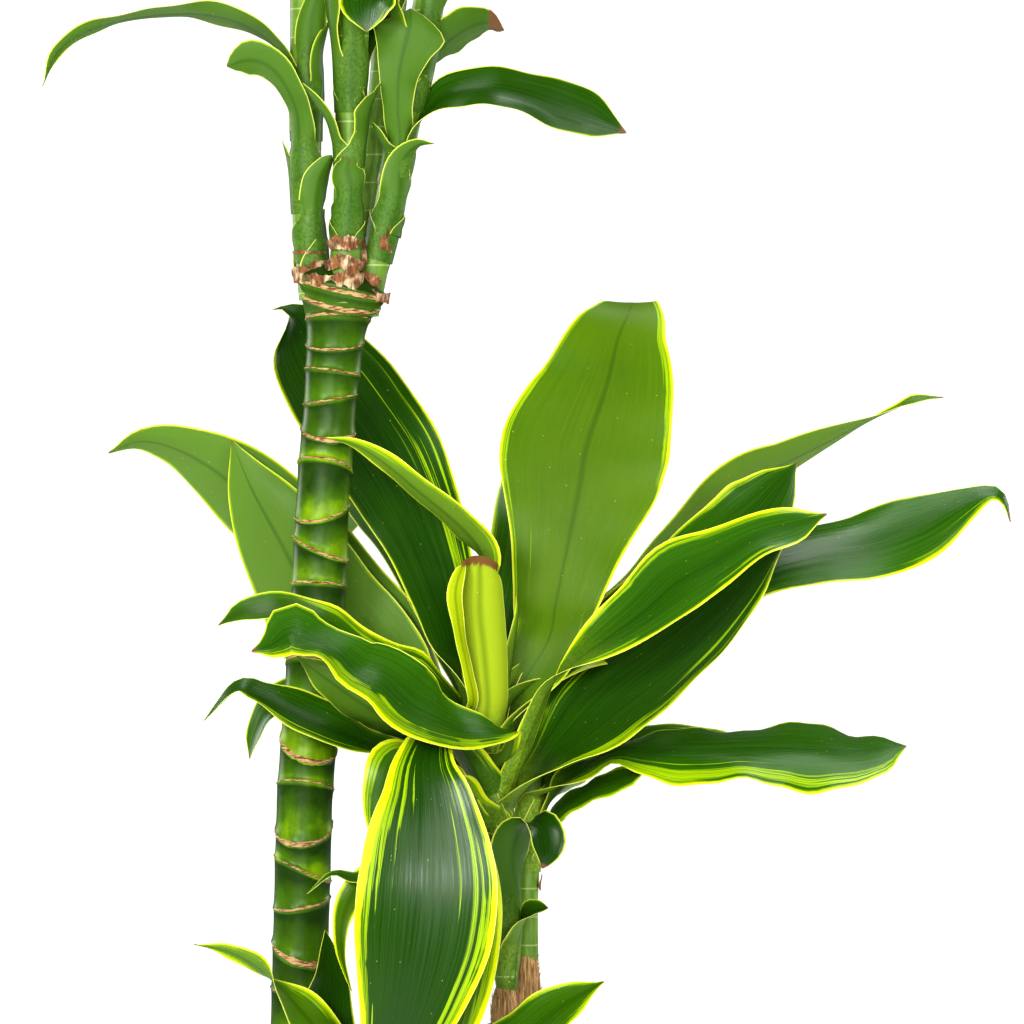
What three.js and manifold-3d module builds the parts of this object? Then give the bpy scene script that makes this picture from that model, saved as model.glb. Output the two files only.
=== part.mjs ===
// Corn plant in a plain pot: three canes of different height, seven leafy shoots.
// Millimetres, +Z up. The origin is the middle of the pot's underside, the side seen in front is -Y.
import * as THREE from 'three';
import { mergeVertices } from 'three/addons/utils/BufferGeometryUtils.js';
import Module from 'manifold-3d';

const wasm = await Module();
wasm.setup();

const GAP = 0.3;                 // clearance between pieces that stand in one another
const BLADE = 1.0;               // thickness of every leaf
const ROW_LENGTH = 40;           // length of leaf between two rows of points
const WIDE_HALF = 24.5;          // leaves with a greater half width get four strips, others two
const CLASP = 8;                 // height over which a leaf base runs up inside the stem's sheaths
const CLASP_DEPTH = 1.6;         // how deep the leaf base lies under them
const STEM_SIDES = 8;
const CANE_SIDES = 14;
const POT_SIDES = 36;

// The pot: a plain tapered nursery pot with a rim band and six drain holes.
const POT_HEIGHT = 260;
const POT_FOOT_RADIUS = 100;
const POT_SHOULDER_RADIUS = 135;
const POT_SHOULDER_HEIGHT = 234;
const POT_RIM_RADIUS = 141.5;
const POT_WALL = 3;
const POT_FLOOR = 5;
const POT_RECESS = 3;
const POT_MOUTH_RADIUS = POT_SHOULDER_RADIUS - POT_WALL;
const DRAIN_HOLES = 6;
const DRAIN_RADIUS = 4.5;
const DRAIN_CIRCLE = 65;
const SOIL_EDGE = 232;
const SOIL_TOP = 236;
const CANE_FOOT = 205;

// Tall cane: [x, y, z, radius] up its middle. It widens to a fork that carries four shoots.
const TALL_CANE = [
  [-66, 8, CANE_FOOT, 14], [-65, 8, 240, 14], [-62, 8, 330, 14], [-57, 8, 430, 14],
  [-54, 8, 542, 14], [-47, 8, 642, 13.6], [-45, 8, 692, 13.4], [-41, 8, 742, 13.3],
  [-38.8, 8, 770, 14.2], [-37.3, 8, 782, 15.8], [-36, 7.5, 792, 20], [-35.5, 7.5, 800, 22.5],
  [-35.5, 7.5, 803, 22],
];
// Leaf scars ring the tall cane: [height at its left, at its front, at its right].
const TALL_SCARS = [
  [270, 266, 274], [306, 310, 303], [342, 338, 346], [378, 382, 375], [414, 410, 417],
  [448, 447, 450], [471, 461, 463],
  [488, 488, 493], [514, 507, 501], [527, 520, 529], [550, 552, 547], [573, 562, 566],
  [592, 589, 590], [610, 614, 606], [629, 626, 630], [650, 651, 648], [674, 666, 662],
  [684, 682, 690], [711, 713, 706], [728, 722, 726], [740, 742, 745], [758, 757, 754],
  [770, 767, 771], [782, 783, 781], [796, 791, 792],
];
const SCAR_HEIGHT = 1.5;
const SCAR_STAND_OUT = 1.1;

// Middle cane: a bare woody length that carries two brown buds.
const MIDDLE_CANE = [
  [51, 8, CANE_FOOT, 17], [51, 8, 262, 17], [51, 8, 264, 17.8], [51, 8, 300, 16.8], [51, 8, 302, 17.6],
  [51, 8, 342, 16.6], [51, 8, 344, 17.4], [51, 8, 384, 16.5], [51, 8, 386, 17.3], [51, 8, 424, 16.5],
  [51, 8, 428, 15],
];
const FRONT_BUD = [
  [46, -1, 416, 4], [46.5, -4, 426, 6.4], [47, -5, 436, 6.8], [47, -5, 445, 6], [47, -5, 449.5, 5],
];
const BACK_BUD = [
  [57, 13, 420, 6], [57.5, 13.5, 432, 7.4], [58, 14, 446, 7], [58, 14, 457, 5.8], [58, 14, 463, 4.4],
];

// Low cane, in front of the other two.
const LOW_CANE = [
  [-4, -50, CANE_FOOT, 15], [-4, -50, 250, 15], [-4, -50, 252, 15.8], [-5, -51, 288, 14.8],
  [-5, -51, 290, 15.6], [-6, -52, 326, 14.6], [-6, -52, 330, 12],
];

// Stems of the leafy shoots: [x, y, z, radius]. Each foot is a peg in a socket of its cane.
const MIDDLE_STEM = [
  [47, -5, 441, 3.5], [47, -5, 450.5, 3.5], [47, -5, 452, 6.5], [46, -4, 490, 7.5],
  [41, -1, 527, 9.5], [37, 0, 572, 10], [35, 0, 620, 9], [35, 0, 652, 6],
];
const SIDE_STEM = [
  [58, 14, 455, 2.5], [58, 14, 464, 2.5], [58, 14, 465.5, 5], [58, 17, 512, 6], [58, 18, 545, 7],
  [61, 22, 584, 4],
];
const LOW_STEM = [
  [-6, -52, 322, 5], [-6, -52, 331, 5], [-6, -52, 332.5, 9], [-6, -54, 360, 10], [-6, -55, 415, 6],
];
const LEFT_STEM = [
  [-49, 4, 797, 6], [-49, 4, 804, 6], [-50, 4, 805.5, 7.6], [-52, 4, 822, 7.6], [-53, 3, 852, 7.4],
  [-53, 2, 900, 8], [-53, 0, 942, 8], [-57, -2, 990, 7.5], [-64, -4, 1040, 5],
];
const FRONT_STEM = [
  [-34, -6, 797, 6], [-34, -6, 804, 6], [-33.5, -6, 805.5, 7.6], [-32, -6, 832, 7.4],
  [-31, -7, 872, 7.2], [-30, -9, 912, 8], [-28, -13, 945, 8], [-24, -22, 990, 7.5],
  [-20, -32, 1030, 5],
];
const RIGHT_STEM = [
  [-20.5, 5, 797, 6], [-20.5, 5, 804, 6], [-20, 5, 805.5, 7.6], [-14.5, 5, 822, 7.4],
  [-9.5, 6, 852, 7.4], [-3, 7, 882, 7.4], [3, 8, 912, 8], [9, 8, 945, 8], [19, 8, 990, 7.5],
  [30, 8, 1030, 5],
];
const BACK_STEM = [
  [-28, 20, 797, 6], [-28, 20, 804, 6], [-27.5, 21, 805.5, 7], [-22, 25, 830, 7],
  [-18, 30, 870, 7], [-14, 38, 912, 7.5], [-12, 46, 945, 7.5], [-11, 58, 1000, 7],
  [-11, 70, 1050, 5],
];

// Leaves. foot and leave: heights on the stem where the clasping base starts and lets go; turn: the
// side of the stem in degrees; half: greatest half width. Width goes from base (a share) to its
// greatest at peak (a share of the length), swell slows it, tip rounds the end. cup is the angle of
// the cross-section, wave the ripple of the margins in mm, waves how many of them.
// path: [x, y, z of the midrib, then the way the upper face looks there].
const LEAF_FORM = {
  base: 0.4, peak: 0.55, swell: 1.3, tip: 2, end: 0.02, cup: 0.35, wrap: 1.5, sheath: 0.16,
  wave: 2, waves: 2, phase: 0,
};
const MIDDLE_LEAVES = {
  wideUpright: {
    foot: 555, leave: 578, turn: 60, half: 45, peak: 0.56, base: 0.3, tip: 1.15, cup: 0.1, swell: 2,
    path: [
      [56, 12, 602, -0.2, -1, 0], [72, 20, 644, -0.2, -1, 0.1], [87, 34, 717, -0.2, -1, 0.2],
      [100, 54, 770, -0.2, -1, 0.6], [107, 76, 794, 0, -0.4, 1], [112, 102, 783, 0, 0.5, 1],
      [115, 118, 760, 0, 1, 0.6],
    ],
  },
  rightFront: {
    foot: 520, leave: 541, turn: -35, half: 28, peak: 0.66, base: 0.3, tip: 1.6, wave: 3, waves: 2.5,
    path: [
      [56, -14, 570, -0.7, 0.7, 0], [64, -17, 593, -0.8, 0.3, 0.4], [80, -18, 610, -0.5, -0.4, 0.8],
      [104, -20, 623, -0.3, -0.5, 0.8], [132, -22, 645, -0.3, -0.75, 0.6], [163, -24, 667, -0.2, -0.75, 0.6],
      [189, -25, 681, 0, -0.8, 0.6], [208, -26, 684, 0, -0.8, 0.6],
    ],
  },
  rightBroad: {
    foot: 520, leave: 538, turn: -8, half: 38, peak: 0.5, base: 0.3, tip: 2,
    path: [
      [62, -10, 555, -0.7, -0.3, 0.6], [82, -8, 575, -0.5, -0.6, 0.6], [103, -4, 594, -0.5, -0.65, 0.6],
      [129, -4, 614, -0.5, -0.65, 0.6], [152, -6, 635, -0.5, -0.65, 0.6], [171, -8, 655, -0.5, -0.65, 0.6],
      [186, -10, 671, -0.4, -0.65, 0.6],
    ],
  },
  rightUpper: {
    foot: 560, leave: 585, turn: 30, half: 31, peak: 0.72, tip: 2.5, swell: 1.6,
    path: [
      [66, 24, 612, -0.6, -0.6, 0.5], [94, 32, 630, -0.5, -0.7, 0.6], [118, 34, 648, -0.4, -0.7, 0.6],
      [142, 34, 667, -0.4, -0.7, 0.6], [168, 32, 688, -0.4, -0.7, 0.6], [193, 28, 712, -0.4, -0.7, 0.6],
    ],
  },
  rightFar: {
    foot: 575, leave: 592, turn: 45, half: 25, peak: 0.55, tip: 1.2,
    path: [
      [72, 46, 620, -0.5, 0.1, 0.8], [100, 64, 641, -0.4, 0.4, 0.8], [126, 76, 661, -0.4, 0.5, 0.8],
      [153, 82, 684, -0.4, 0.5, 0.8], [197, 86, 712, -0.4, 0.5, 0.8], [240, 88, 738, -0.3, 0.4, 0.9],
      [270, 88, 744, 0, 0.4, 0.9],
    ],
  },
  rightLong: {
    foot: 550, leave: 570, turn: 20, half: 31, peak: 0.6, tip: 1.6, wave: 3,
    path: [
      [68, 16, 602, -0.6, -0.4, 0.7], [100, 26, 623, -0.4, -0.5, 0.8], [140, 30, 646, -0.3, -0.6, 0.8],
      [178, 31, 661, -0.1, -0.6, 0.8], [205, 31, 666, 0, -0.6, 0.8], [230, 29, 670, 0, -0.65, 0.7],
      [255, 27, 678, -0.1, -0.65, 0.7], [276, 25, 690, -0.1, -0.6, 0.8], [291, 23, 696, 0, -0.5, 0.8],
      [301, 21, 681, 0.6, -0.5, 0.5],
    ],
  },
  curledSheath: {
    foot: 490, leave: 515, turn: -25, half: 15, peak: 0.6, base: 0.8, cup: 0.6, wave: 1,
    path: [
      [55, -12, 532, -0.9, 0, 0.3], [66, -16, 534, 0, 0.2, 1], [77, -18, 524, 0.8, -0.2, 0.5],
      [76, -18, 510, 1, -0.3, -0.3],
    ],
  },
  smallSheath: {
    foot: 448, leave: 468, turn: -40, half: 9, peak: 0.4, base: 0.9, cup: 0.8, wave: 0,
    path: [
      [55, -13, 480, -0.8, 0.4, 0.3], [60, -15, 487, -0.4, 0.2, 0.9], [68, -15, 488, 0.2, 0.2, 1],
    ],
  },
  leftTall: {
    foot: 565, leave: 588, turn: 150, half: 34, peak: 0.62, base: 0.3, tip: 2.5,
    path: [
      [19, 16, 630, 0.3, -1, 0.1], [5, 32, 672, 0.3, -1, 0.2], [-13, 47, 711, 0.3, -1, 0.4],
      [-38, 58, 748, 0.3, -1, 0.5], [-55, 62, 772, 0.3, -1, 0.5], [-69, 62, 790, 0.3, -1, 0.5],
    ],
  },
  leftArching: {
    foot: 590, leave: 612, turn: 120, half: 12, peak: 0.5, cup: 0.4, wave: 1,
    path: [
      [34, 10, 638, 0.7, -0.8, 0], [35, 8, 662, 0.9, -0.3, 0.1], [22, -4, 684, 0.6, 0.6, 0.6],
      [4, -14, 700, 0.4, 0.6, 0.7], [-14, -19, 712, 0.4, 0.6, 0.7], [-29, -21, 720, 0.3, 0.6, 0.8],
      [-43, -21, 723, 0.2, 0.6, 0.8],
    ],
  },
  leftFar: {
    foot: 540, leave: 560, turn: 170, half: 28, peak: 0.66, base: 0.3, tip: 1.6,
    path: [
      [4, 40, 612, 0.3, 0.6, 0.7], [-28, 52, 641, 0.4, 0.8, 0.5], [-58, 56, 669, 0.4, 0.9, 0.4],
      [-84, 56, 693, 0.4, 0.9, 0.4], [-104, 56, 709, 0.3, 0.8, 0.5], [-123, 54, 719, 0.2, 0.6, 0.7],
      [-140, 52, 722, 0, 0.6, 0.7], [-155, 50, 716, -0.2, 0.6, 0.7],
    ],
  },
  leftBroad: {
    foot: 530, leave: 548, turn: 175, half: 36, peak: 0.5, base: 0.3, tip: 2.2,
    path: [
      [-6, 34, 590, 0.4, 0.8, 0.5], [-38, 42, 622, 0.4, 1, 0.2], [-57, 43, 652, 0.4, 1, 0.2],
      [-68, 43, 672, 0.4, 1, 0.2], [-82, 42, 698, 0.3, 1, 0.2], [-92, 42, 722, 0.3, 1, 0.2],
    ],
  },
  leftWavy: {
    foot: 540, leave: 556, turn: 190, half: 23, peak: 0.5, wave: 4, waves: 2.5,
    path: [
      [22, -12, 585, 0.5, -0.3, 0.7], [4, -20, 600, 0.4, -0.5, 0.8], [-20, -28, 612, 0.3, -0.5, 0.8],
      [-41, -36, 628, 0.1, -0.5, 0.8], [-61, -38, 637, 0, -0.5, 0.8], [-81, -38, 637, -0.2, -0.5, 0.8],
      [-95, -36, 630, -0.4, -0.4, 0.7],
    ],
  },
  leftFront: {
    foot: 545, leave: 558, turn: -95, half: 24, peak: 0.5, tip: 2.5, wave: 3,
    path: [
      [36, -34, 572, 0, 0.3, 1], [28, -54, 577, 0.1, -0.2, 1], [11, -68, 582, 0.1, -0.55, 0.85],
      [-9, -74, 592, 0.2, -0.6, 0.8], [-30, -76, 608, 0.3, -0.5, 0.8], [-47, -76, 619, 0.2, -0.5, 0.85],
      [-62, -76, 627, 0, -0.75, 0.6], [-82, -74, 618, -0.4, -0.6, 0.6],
    ],
  },
  leftLow: {
    foot: 530, leave: 542, turn: 205, half: 17, peak: 0.6, tip: 1.6,
    path: [
      [12, -12, 562, 0.3, -0.4, 0.9], [-6, -22, 567, 0.2, -0.5, 0.85], [-20, -29, 571, 0.2, -0.5, 0.85],
      [-37, -36, 578, 0.2, -0.5, 0.85], [-55, -37, 586, 0.2, -0.5, 0.85], [-75, -37, 596, 0, -0.5, 0.85],
      [-86, -36, 599, -0.3, -0.5, 0.85], [-102, -35, 583, -0.8, -0.5, 0.5],
    ],
  },
  leftUnder: {
    foot: 535, leave: 550, turn: -120, half: 20, peak: 0.55,
    path: [
      [20, -20, 570, 0.1, 0.3, 0.9], [0, -32, 578, 0.3, 0.5, 0.7], [-20, -40, 589, 0.4, 0.7, 0.5],
      [-40, -45, 603, 0.4, 0.7, 0.5], [-56, -46, 615, 0.4, 0.7, 0.5],
    ],
  },
  leftDrooping: {
    foot: 520, leave: 532, turn: 160, half: 16, peak: 0.55, tip: 2.5,
    path: [
      [6, 24, 550, 0, 0.2, 1], [-16, 36, 564, 0, -0.3, 1], [-38, 42, 576, 0, -0.4, 0.9],
      [-55, 44, 582, -0.1, -0.4, 0.9], [-70, 44, 580, -0.5, -0.5, 0.7], [-80, 43, 565, -0.8, -0.6, 0.2],
    ],
  },
  innerDroop: {
    foot: 512, leave: 526, turn: -130, half: 17, peak: 0.5,
    path: [
      [20, -30, 548, 0, 0, 1], [2, -48, 556, -0.3, -0.5, 0.8], [-12, -56, 547, -0.5, -0.7, 0.4],
      [-16, -59, 528, -0.5, -0.8, 0.1], [-16, -61, 508, -0.5, -0.8, 0],
    ],
  },
  innerCurl: {
    foot: 505, leave: 520, turn: -140, half: 12, peak: 0.4, tip: 1.4, wave: 1,
    path: [
      [16, -30, 538, -0.1, -0.3, 1], [-2, -44, 534, -0.3, -0.5, 0.8], [-14, -50, 514, -0.6, -0.6, 0.4],
      [-26, -50, 506, -0.2, -0.6, 0.8], [-38, -48, 508, 0, -0.6, 0.8], [-51, -46, 498, -0.6, -0.5, 0.5],
    ],
  },
  frontHanging: {
    foot: 525, leave: 542, turn: -100, half: 36, base: 0.3, wave: 1.5, cup: 0.25, swell: 1.5,
    path: [
      [29, -28, 565, 0, 0.2, 1], [17, -54, 571, -0.1, -0.3, 1], [9, -73, 558, -0.1, -0.9, 0.6],
      [8, -80, 534, 0, -1, 0.2], [9, -84, 500, 0, -1, 0.1], [7, -86, 466, 0, -1, 0],
      [3, -84, 430, 0, -1, -0.1], [-2, -80, 396, 0, -1, -0.2], [-6, -74, 366, 0, -1, -0.3],
    ],
  },
  frontSecond: {
    foot: 515, leave: 530, turn: -60, half: 19, peak: 0.6,
    path: [
      [46, -28, 552, 0, 0.2, 1], [41, -48, 554, 0, -0.4, 1], [32, -62, 535, 0, -0.9, 0.4],
      [28, -66, 500, 0.1, -1, 0.1], [26, -69, 465, 0.1, -1, 0], [22, -72, 430, 0.1, -1, -0.1],
      [19, -73, 408, 0, -1, -0.1],
    ],
  },
  innerStrip: {
    foot: 490, leave: 504, turn: -150, half: 8, peak: 0.6, wave: 1,
    path: [
      [20, -24, 518, 0.3, -0.2, 1], [0, -38, 517, 0, -0.4, 0.9], [-18, -44, 508, -0.3, -0.7, 0.7],
      [-31, -46, 492, -0.6, -0.8, 0.3], [-34, -46, 470, -0.7, -0.7, 0], [-29, -46, 450, -0.7, -0.7, -0.2],
    ],
  },
  centreColumn: {
    foot: 535, leave: 575, turn: -90, half: 19, peak: 0.7, base: 0.8, cup: 1.2, wave: 0, tip: 3,
    path: [
      [34, -13, 620, 0, 1, 0], [33, -14, 650, 0, 1, 0.1], [32, -9, 662, 0, 0.5, -1],
      [31, 2, 660, 0, -1, -1],
    ],
  },
  centreSmall: {
    foot: 560, leave: 590, turn: 0, half: 8, peak: 0.4, cup: 0.8, wave: 0,
    path: [
      [50, 0, 612, -1, 0.3, 0], [53, -1, 635, -1, 0.3, 0], [52, -1, 645, -1, 0.3, 0],
    ],
  },
  backRight: {
    foot: 560, leave: 580, turn: 75, half: 32,
    path: [
      [52, 32, 628, -0.2, -0.8, 0.4], [72, 80, 690, -0.2, -0.8, 0.5], [88, 135, 728, -0.1, -0.3, 1],
      [98, 190, 725, 0.1, 0.3, 1], [104, 235, 690, 0.2, 0.7, 0.7],
    ],
  },
  backLeft: {
    foot: 555, leave: 575, turn: 115, half: 30,
    path: [
      [22, 34, 620, 0.3, -0.7, 0.4], [2, 80, 665, 0.3, -0.7, 0.6], [-18, 135, 692, 0.1, -0.2, 1],
      [-36, 190, 690, -0.2, 0.3, 1], [-48, 232, 660, -0.4, 0.7, 0.6],
    ],
  },
  backLow: {
    foot: 535, leave: 552, turn: 85, half: 28,
    path: [
      [42, 34, 578, 0, -0.7, 0.6], [48, 80, 602, 0, -0.4, 0.9], [52, 135, 608, 0, 0, 1],
      [54, 190, 582, 0, 0.5, 0.8], [54, 225, 545, 0, 0.8, 0.5],
    ],
  },
  backHanging: {
    foot: 515, leave: 530, turn: 110, half: 26,
    path: [
      [34, 32, 546, 0, -0.3, 1], [28, 70, 552, 0, 0, 1], [24, 98, 532, 0, 0.7, 0.6],
      [20, 108, 492, 0, 1, 0.2], [18, 112, 450, 0, 1, 0], [14, 112, 415, 0, 1, -0.1],
    ],
  },
};

const SIDE_LEAVES = {
  rightLow: {
    foot: 530, leave: 544, turn: -20, half: 28, peak: 0.6, base: 0.34, tip: 2.6, wave: 4, waves: 2.5,
    phase: 0.3,
    path: [
      [76, 6, 551, -0.6, -0.3, 0.8], [99, 0, 562, -0.2, -0.5, 0.9], [126, -3, 563, 0, -0.55, 0.85],
      [154, -5, 563, 0, -0.55, 0.85], [184, -5, 563, 0, -0.55, 0.85], [214, -4, 562, 0, -0.55, 0.85],
      [247, -2, 569, 0, -0.6, 0.8],
    ],
  },
  lowRightA: {
    foot: 515, leave: 530, turn: 30, half: 15, peak: 0.5,
    path: [
      [72, 22, 544, -0.6, 0.3, 0.7], [90, 24, 559, -0.6, 0.5, 0.7], [107, 24, 567, -0.3, 0.5, 0.8],
    ],
  },
  lowRightB: {
    foot: 505, leave: 520, turn: 0, half: 14, peak: 0.5,
    path: [
      [72, 14, 536, -0.6, -0.2, 0.8], [92, 10, 548, -0.3, -0.5, 0.8], [118, 8, 557, 0, -0.5, 0.8],
    ],
  },
  sideBack: {
    foot: 512, leave: 526, turn: 80, half: 20,
    path: [
      [62, 48, 556, 0, -0.6, 0.7], [68, 90, 574, 0, -0.2, 1], [74, 130, 570, 0, 0.3, 1],
      [78, 165, 540, 0, 0.7, 0.7],
    ],
  },
  sideBehind: {
    foot: 526, leave: 540, turn: 25, half: 15,
    path: [
      [80, 34, 556, -0.5, -0.3, 0.8], [108, 44, 567, -0.2, -0.5, 0.8], [145, 48, 569, 0, -0.5, 0.8],
      [185, 48, 556, 0.2, -0.5, 0.8],
    ],
  },
};

const LOW_LEAVES = {
  lowLeft: {
    foot: 355, leave: 372, turn: 190, half: 15, peak: 0.45, tip: 1.3,
    path: [
      [-22, -60, 392, 0.6, -0.5, 0.4], [-42, -62, 427, 0.7, -0.6, 0.3], [-52, -62, 440, 0.7, -0.7, 0.3],
      [-64, -61, 453, 0.6, -0.1, 0.6], [-76, -60, 464, 0.3, 0.6, 0.7], [-90, -59, 471, 0.1, 0.6, 0.8],
      [-106, -58, 474, 0, 0.6, 0.8],
    ],
  },
  lowDark: {
    foot: 360, leave: 378, turn: 160, half: 15, peak: 0.6, wave: 1,
    path: [
      [-24, -48, 394, 0.6, -0.7, 0.3], [-37, -46, 416, 0.5, -0.8, 0.2], [-42, -45, 437, 0.5, -0.8, 0.1],
      [-40, -44, 458, 0.5, -0.8, 0.1], [-42, -44, 480, 0.5, -0.8, 0.1],
    ],
  },
  lowRight: {
    foot: 360, leave: 378, turn: -10, half: 21, peak: 0.6,
    path: [
      [12, -62, 394, -0.5, -0.3, 0.7], [34, -66, 411, -0.4, -0.6, 0.7], [58, -66, 430, -0.4, -0.6, 0.7],
      [76, -65, 445, -0.4, -0.6, 0.7], [95, -62, 456, -0.3, -0.5, 0.8],
    ],
  },
  lowFront: {
    foot: 333, leave: 341, turn: -90, half: 22,
    path: [
      [-6, -84, 350, 0, 0.2, 1], [-8, -122, 368, 0, 0.1, 1], [-10, -168, 366, 0, -0.4, 0.9],
      [-12, -208, 338, 0, -0.8, 0.5],
    ],
  },
  lowFrontLeft: {
    foot: 338, leave: 352, turn: -140, half: 22,
    path: [
      [-36, -84, 384, 0.5, 0.4, 0.7], [-74, -114, 402, 0, 0, 1], [-112, -142, 388, -0.4, -0.4, 0.8],
      [-140, -160, 350, -0.6, -0.5, 0.5],
    ],
  },
  lowFrontRight: {
    foot: 340, leave: 354, turn: -45, half: 22,
    path: [
      [20, -82, 384, -0.5, 0.4, 0.7], [58, -114, 402, 0, 0, 1], [98, -142, 390, 0.4, -0.4, 0.8],
      [128, -160, 350, 0.6, -0.5, 0.5],
    ],
  },
  lowFarLeft: {
    foot: 335, leave: 348, turn: 178, half: 20,
    path: [
      [-44, -60, 368, 0.5, -0.2, 0.8], [-88, -68, 380, 0, -0.2, 1], [-128, -74, 362, -0.4, -0.2, 0.8],
      [-154, -78, 322, -0.7, -0.2, 0.5],
    ],
  },
  lowFarRight: {
    foot: 332, leave: 345, turn: -8, half: 20,
    path: [
      [34, -62, 366, -0.5, -0.2, 0.8], [76, -68, 378, 0, -0.2, 1], [116, -72, 360, 0.4, -0.2, 0.8],
      [142, -76, 318, 0.7, -0.2, 0.5],
    ],
  },
};

const LEFT_LEAVES = {
  aCurl: {
    foot: 845, leave: 868, turn: -110, half: 13, peak: 0.6, base: 0.75, tip: 4, cup: 0.5, wave: 1,
    path: [
      [-60, -8, 892, 0.6, 0.8, 0.2], [-66, -12, 903, 0.4, 0.7, 0.5], [-76, -14, 909, 0.2, 0.6, 0.8],
      [-85, -14, 909, -0.2, 0.6, 0.8], [-92, -13, 906, -0.6, 0.5, 0.6],
    ],
  },
  aLong: {
    foot: 880, leave: 899, turn: 190, half: 11, peak: 0.5, base: 0.6, tip: 1.5,
    path: [
      [-66, 0, 916, 0.7, 0.2, 0.6], [-81, -3, 928, 0.3, 0.3, 0.9], [-101, -5, 934, 0, 0.3, 1],
      [-126, -7, 934, 0, 0.3, 1], [-156, -9, 928, -0.2, 0.3, 0.9], [-176, -10, 916, -0.5, 0.3, 0.8],
      [-184, -10, 898, -0.9, 0.3, 0.2],
    ],
  },
  aRight: {
    foot: 880, leave: 898, turn: -20, half: 9, cup: 0.8, wave: 0,
    path: [
      [-45, -5, 915, -1, 0.3, 0], [-41, -4, 932, -1, 0.3, 0],
    ],
  },
  aLow: {
    foot: 810, leave: 835, turn: -60, half: 11, peak: 0.4, base: 0.95, cup: 1, wave: 0,
    path: [
      [-46, -5, 852, -0.5, 0.8, 0.1], [-40, -7, 864, -0.5, 0.8, 0.2],
    ],
  },
  aTip: {
    foot: 835, leave: 855, turn: 180, half: 8, peak: 0.3, base: 0.9, cup: 1, wave: 0,
    path: [
      [-63, 4, 864, 1, 0, 0], [-65, 4, 872, 1, 0, 0],
    ],
  },
};
const LEFT_CROWN = [
  { foot: 945, turn: 205, length: 240, half: 22, lift: 62, droop: 30 },
  { foot: 962, turn: 140, length: 240, half: 22, lift: 66, droop: 30 },
  { foot: 978, turn: 234, length: 220, half: 21, lift: 68, droop: 30 },
  { foot: 992, turn: 172, length: 210, half: 20, lift: 74, droop: 30 },
  { foot: 1006, turn: 208, length: 180, half: 18, lift: 80, droop: 10 },
  { foot: 1018, turn: 150, length: 130, half: 14, lift: 86, droop: -40 },
];

const FRONT_LEAVES = {
  bSmall: {
    foot: 855, leave: 868, turn: 200, half: 9, cup: 0.7, base: 0.9, wave: 0,
    path: [
      [-42, -16, 880, 0.9, 0.3, 0], [-47, -20, 888, 0.9, 0.3, 0.3], [-54, -23, 899, 0.9, 0.3, 0.4],
    ],
  },
  bRight: {
    foot: 856, leave: 868, turn: -20, half: 10, cup: 0.7, base: 0.9, wave: 1,
    path: [
      [-21, -10, 886, -0.9, 0.3, 0], [-15, -12, 900, -0.9, 0.3, 0.2],
    ],
  },
  bFlat: {
    foot: 825, leave: 846, turn: -80, half: 10, peak: 0.6, base: 0.95, cup: 0.9, tip: 6, wave: 0,
    path: [
      [-32, -15, 856, 0, 1, 0], [-31, -16, 861, 0, 1, 0],
    ],
  },
  bTall: {
    foot: 885, leave: 905, turn: 200, half: 11, cup: 0.4,
    path: [
      [-40, -16, 925, 0.9, 0.3, 0.1], [-44, -22, 962, 0.9, 0.3, 0.2], [-56, -30, 1002, 0.8, 0.3, 0.4],
      [-72, -36, 1040, 0.8, 0.3, 0.5],
    ],
  },
  bBack: {
    foot: 888, leave: 904, turn: 75, half: 16, wave: 1,
    path: [
      [-24, 4, 924, 0, -1, 0.1], [-20, 6, 945, 0, -1, 0.1], [-12, 10, 985, 0, -1, 0.2],
      [-6, 20, 1025, 0, -1, 0.4], [0, 40, 1055, 0, -0.8, 0.7],
    ],
  },
};
const FRONT_CROWN = [
  { foot: 950, turn: 268, length: 230, half: 22, lift: 60, droop: 30 },
  { foot: 966, turn: 300, length: 230, half: 22, lift: 66, droop: 30 },
  { foot: 980, turn: 258, length: 200, half: 20, lift: 72, droop: 30 },
  { foot: 994, turn: 284, length: 170, half: 18, lift: 80, droop: 10 },
  { foot: 1006, turn: 250, length: 120, half: 14, lift: 86, droop: -40 },
];

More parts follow.
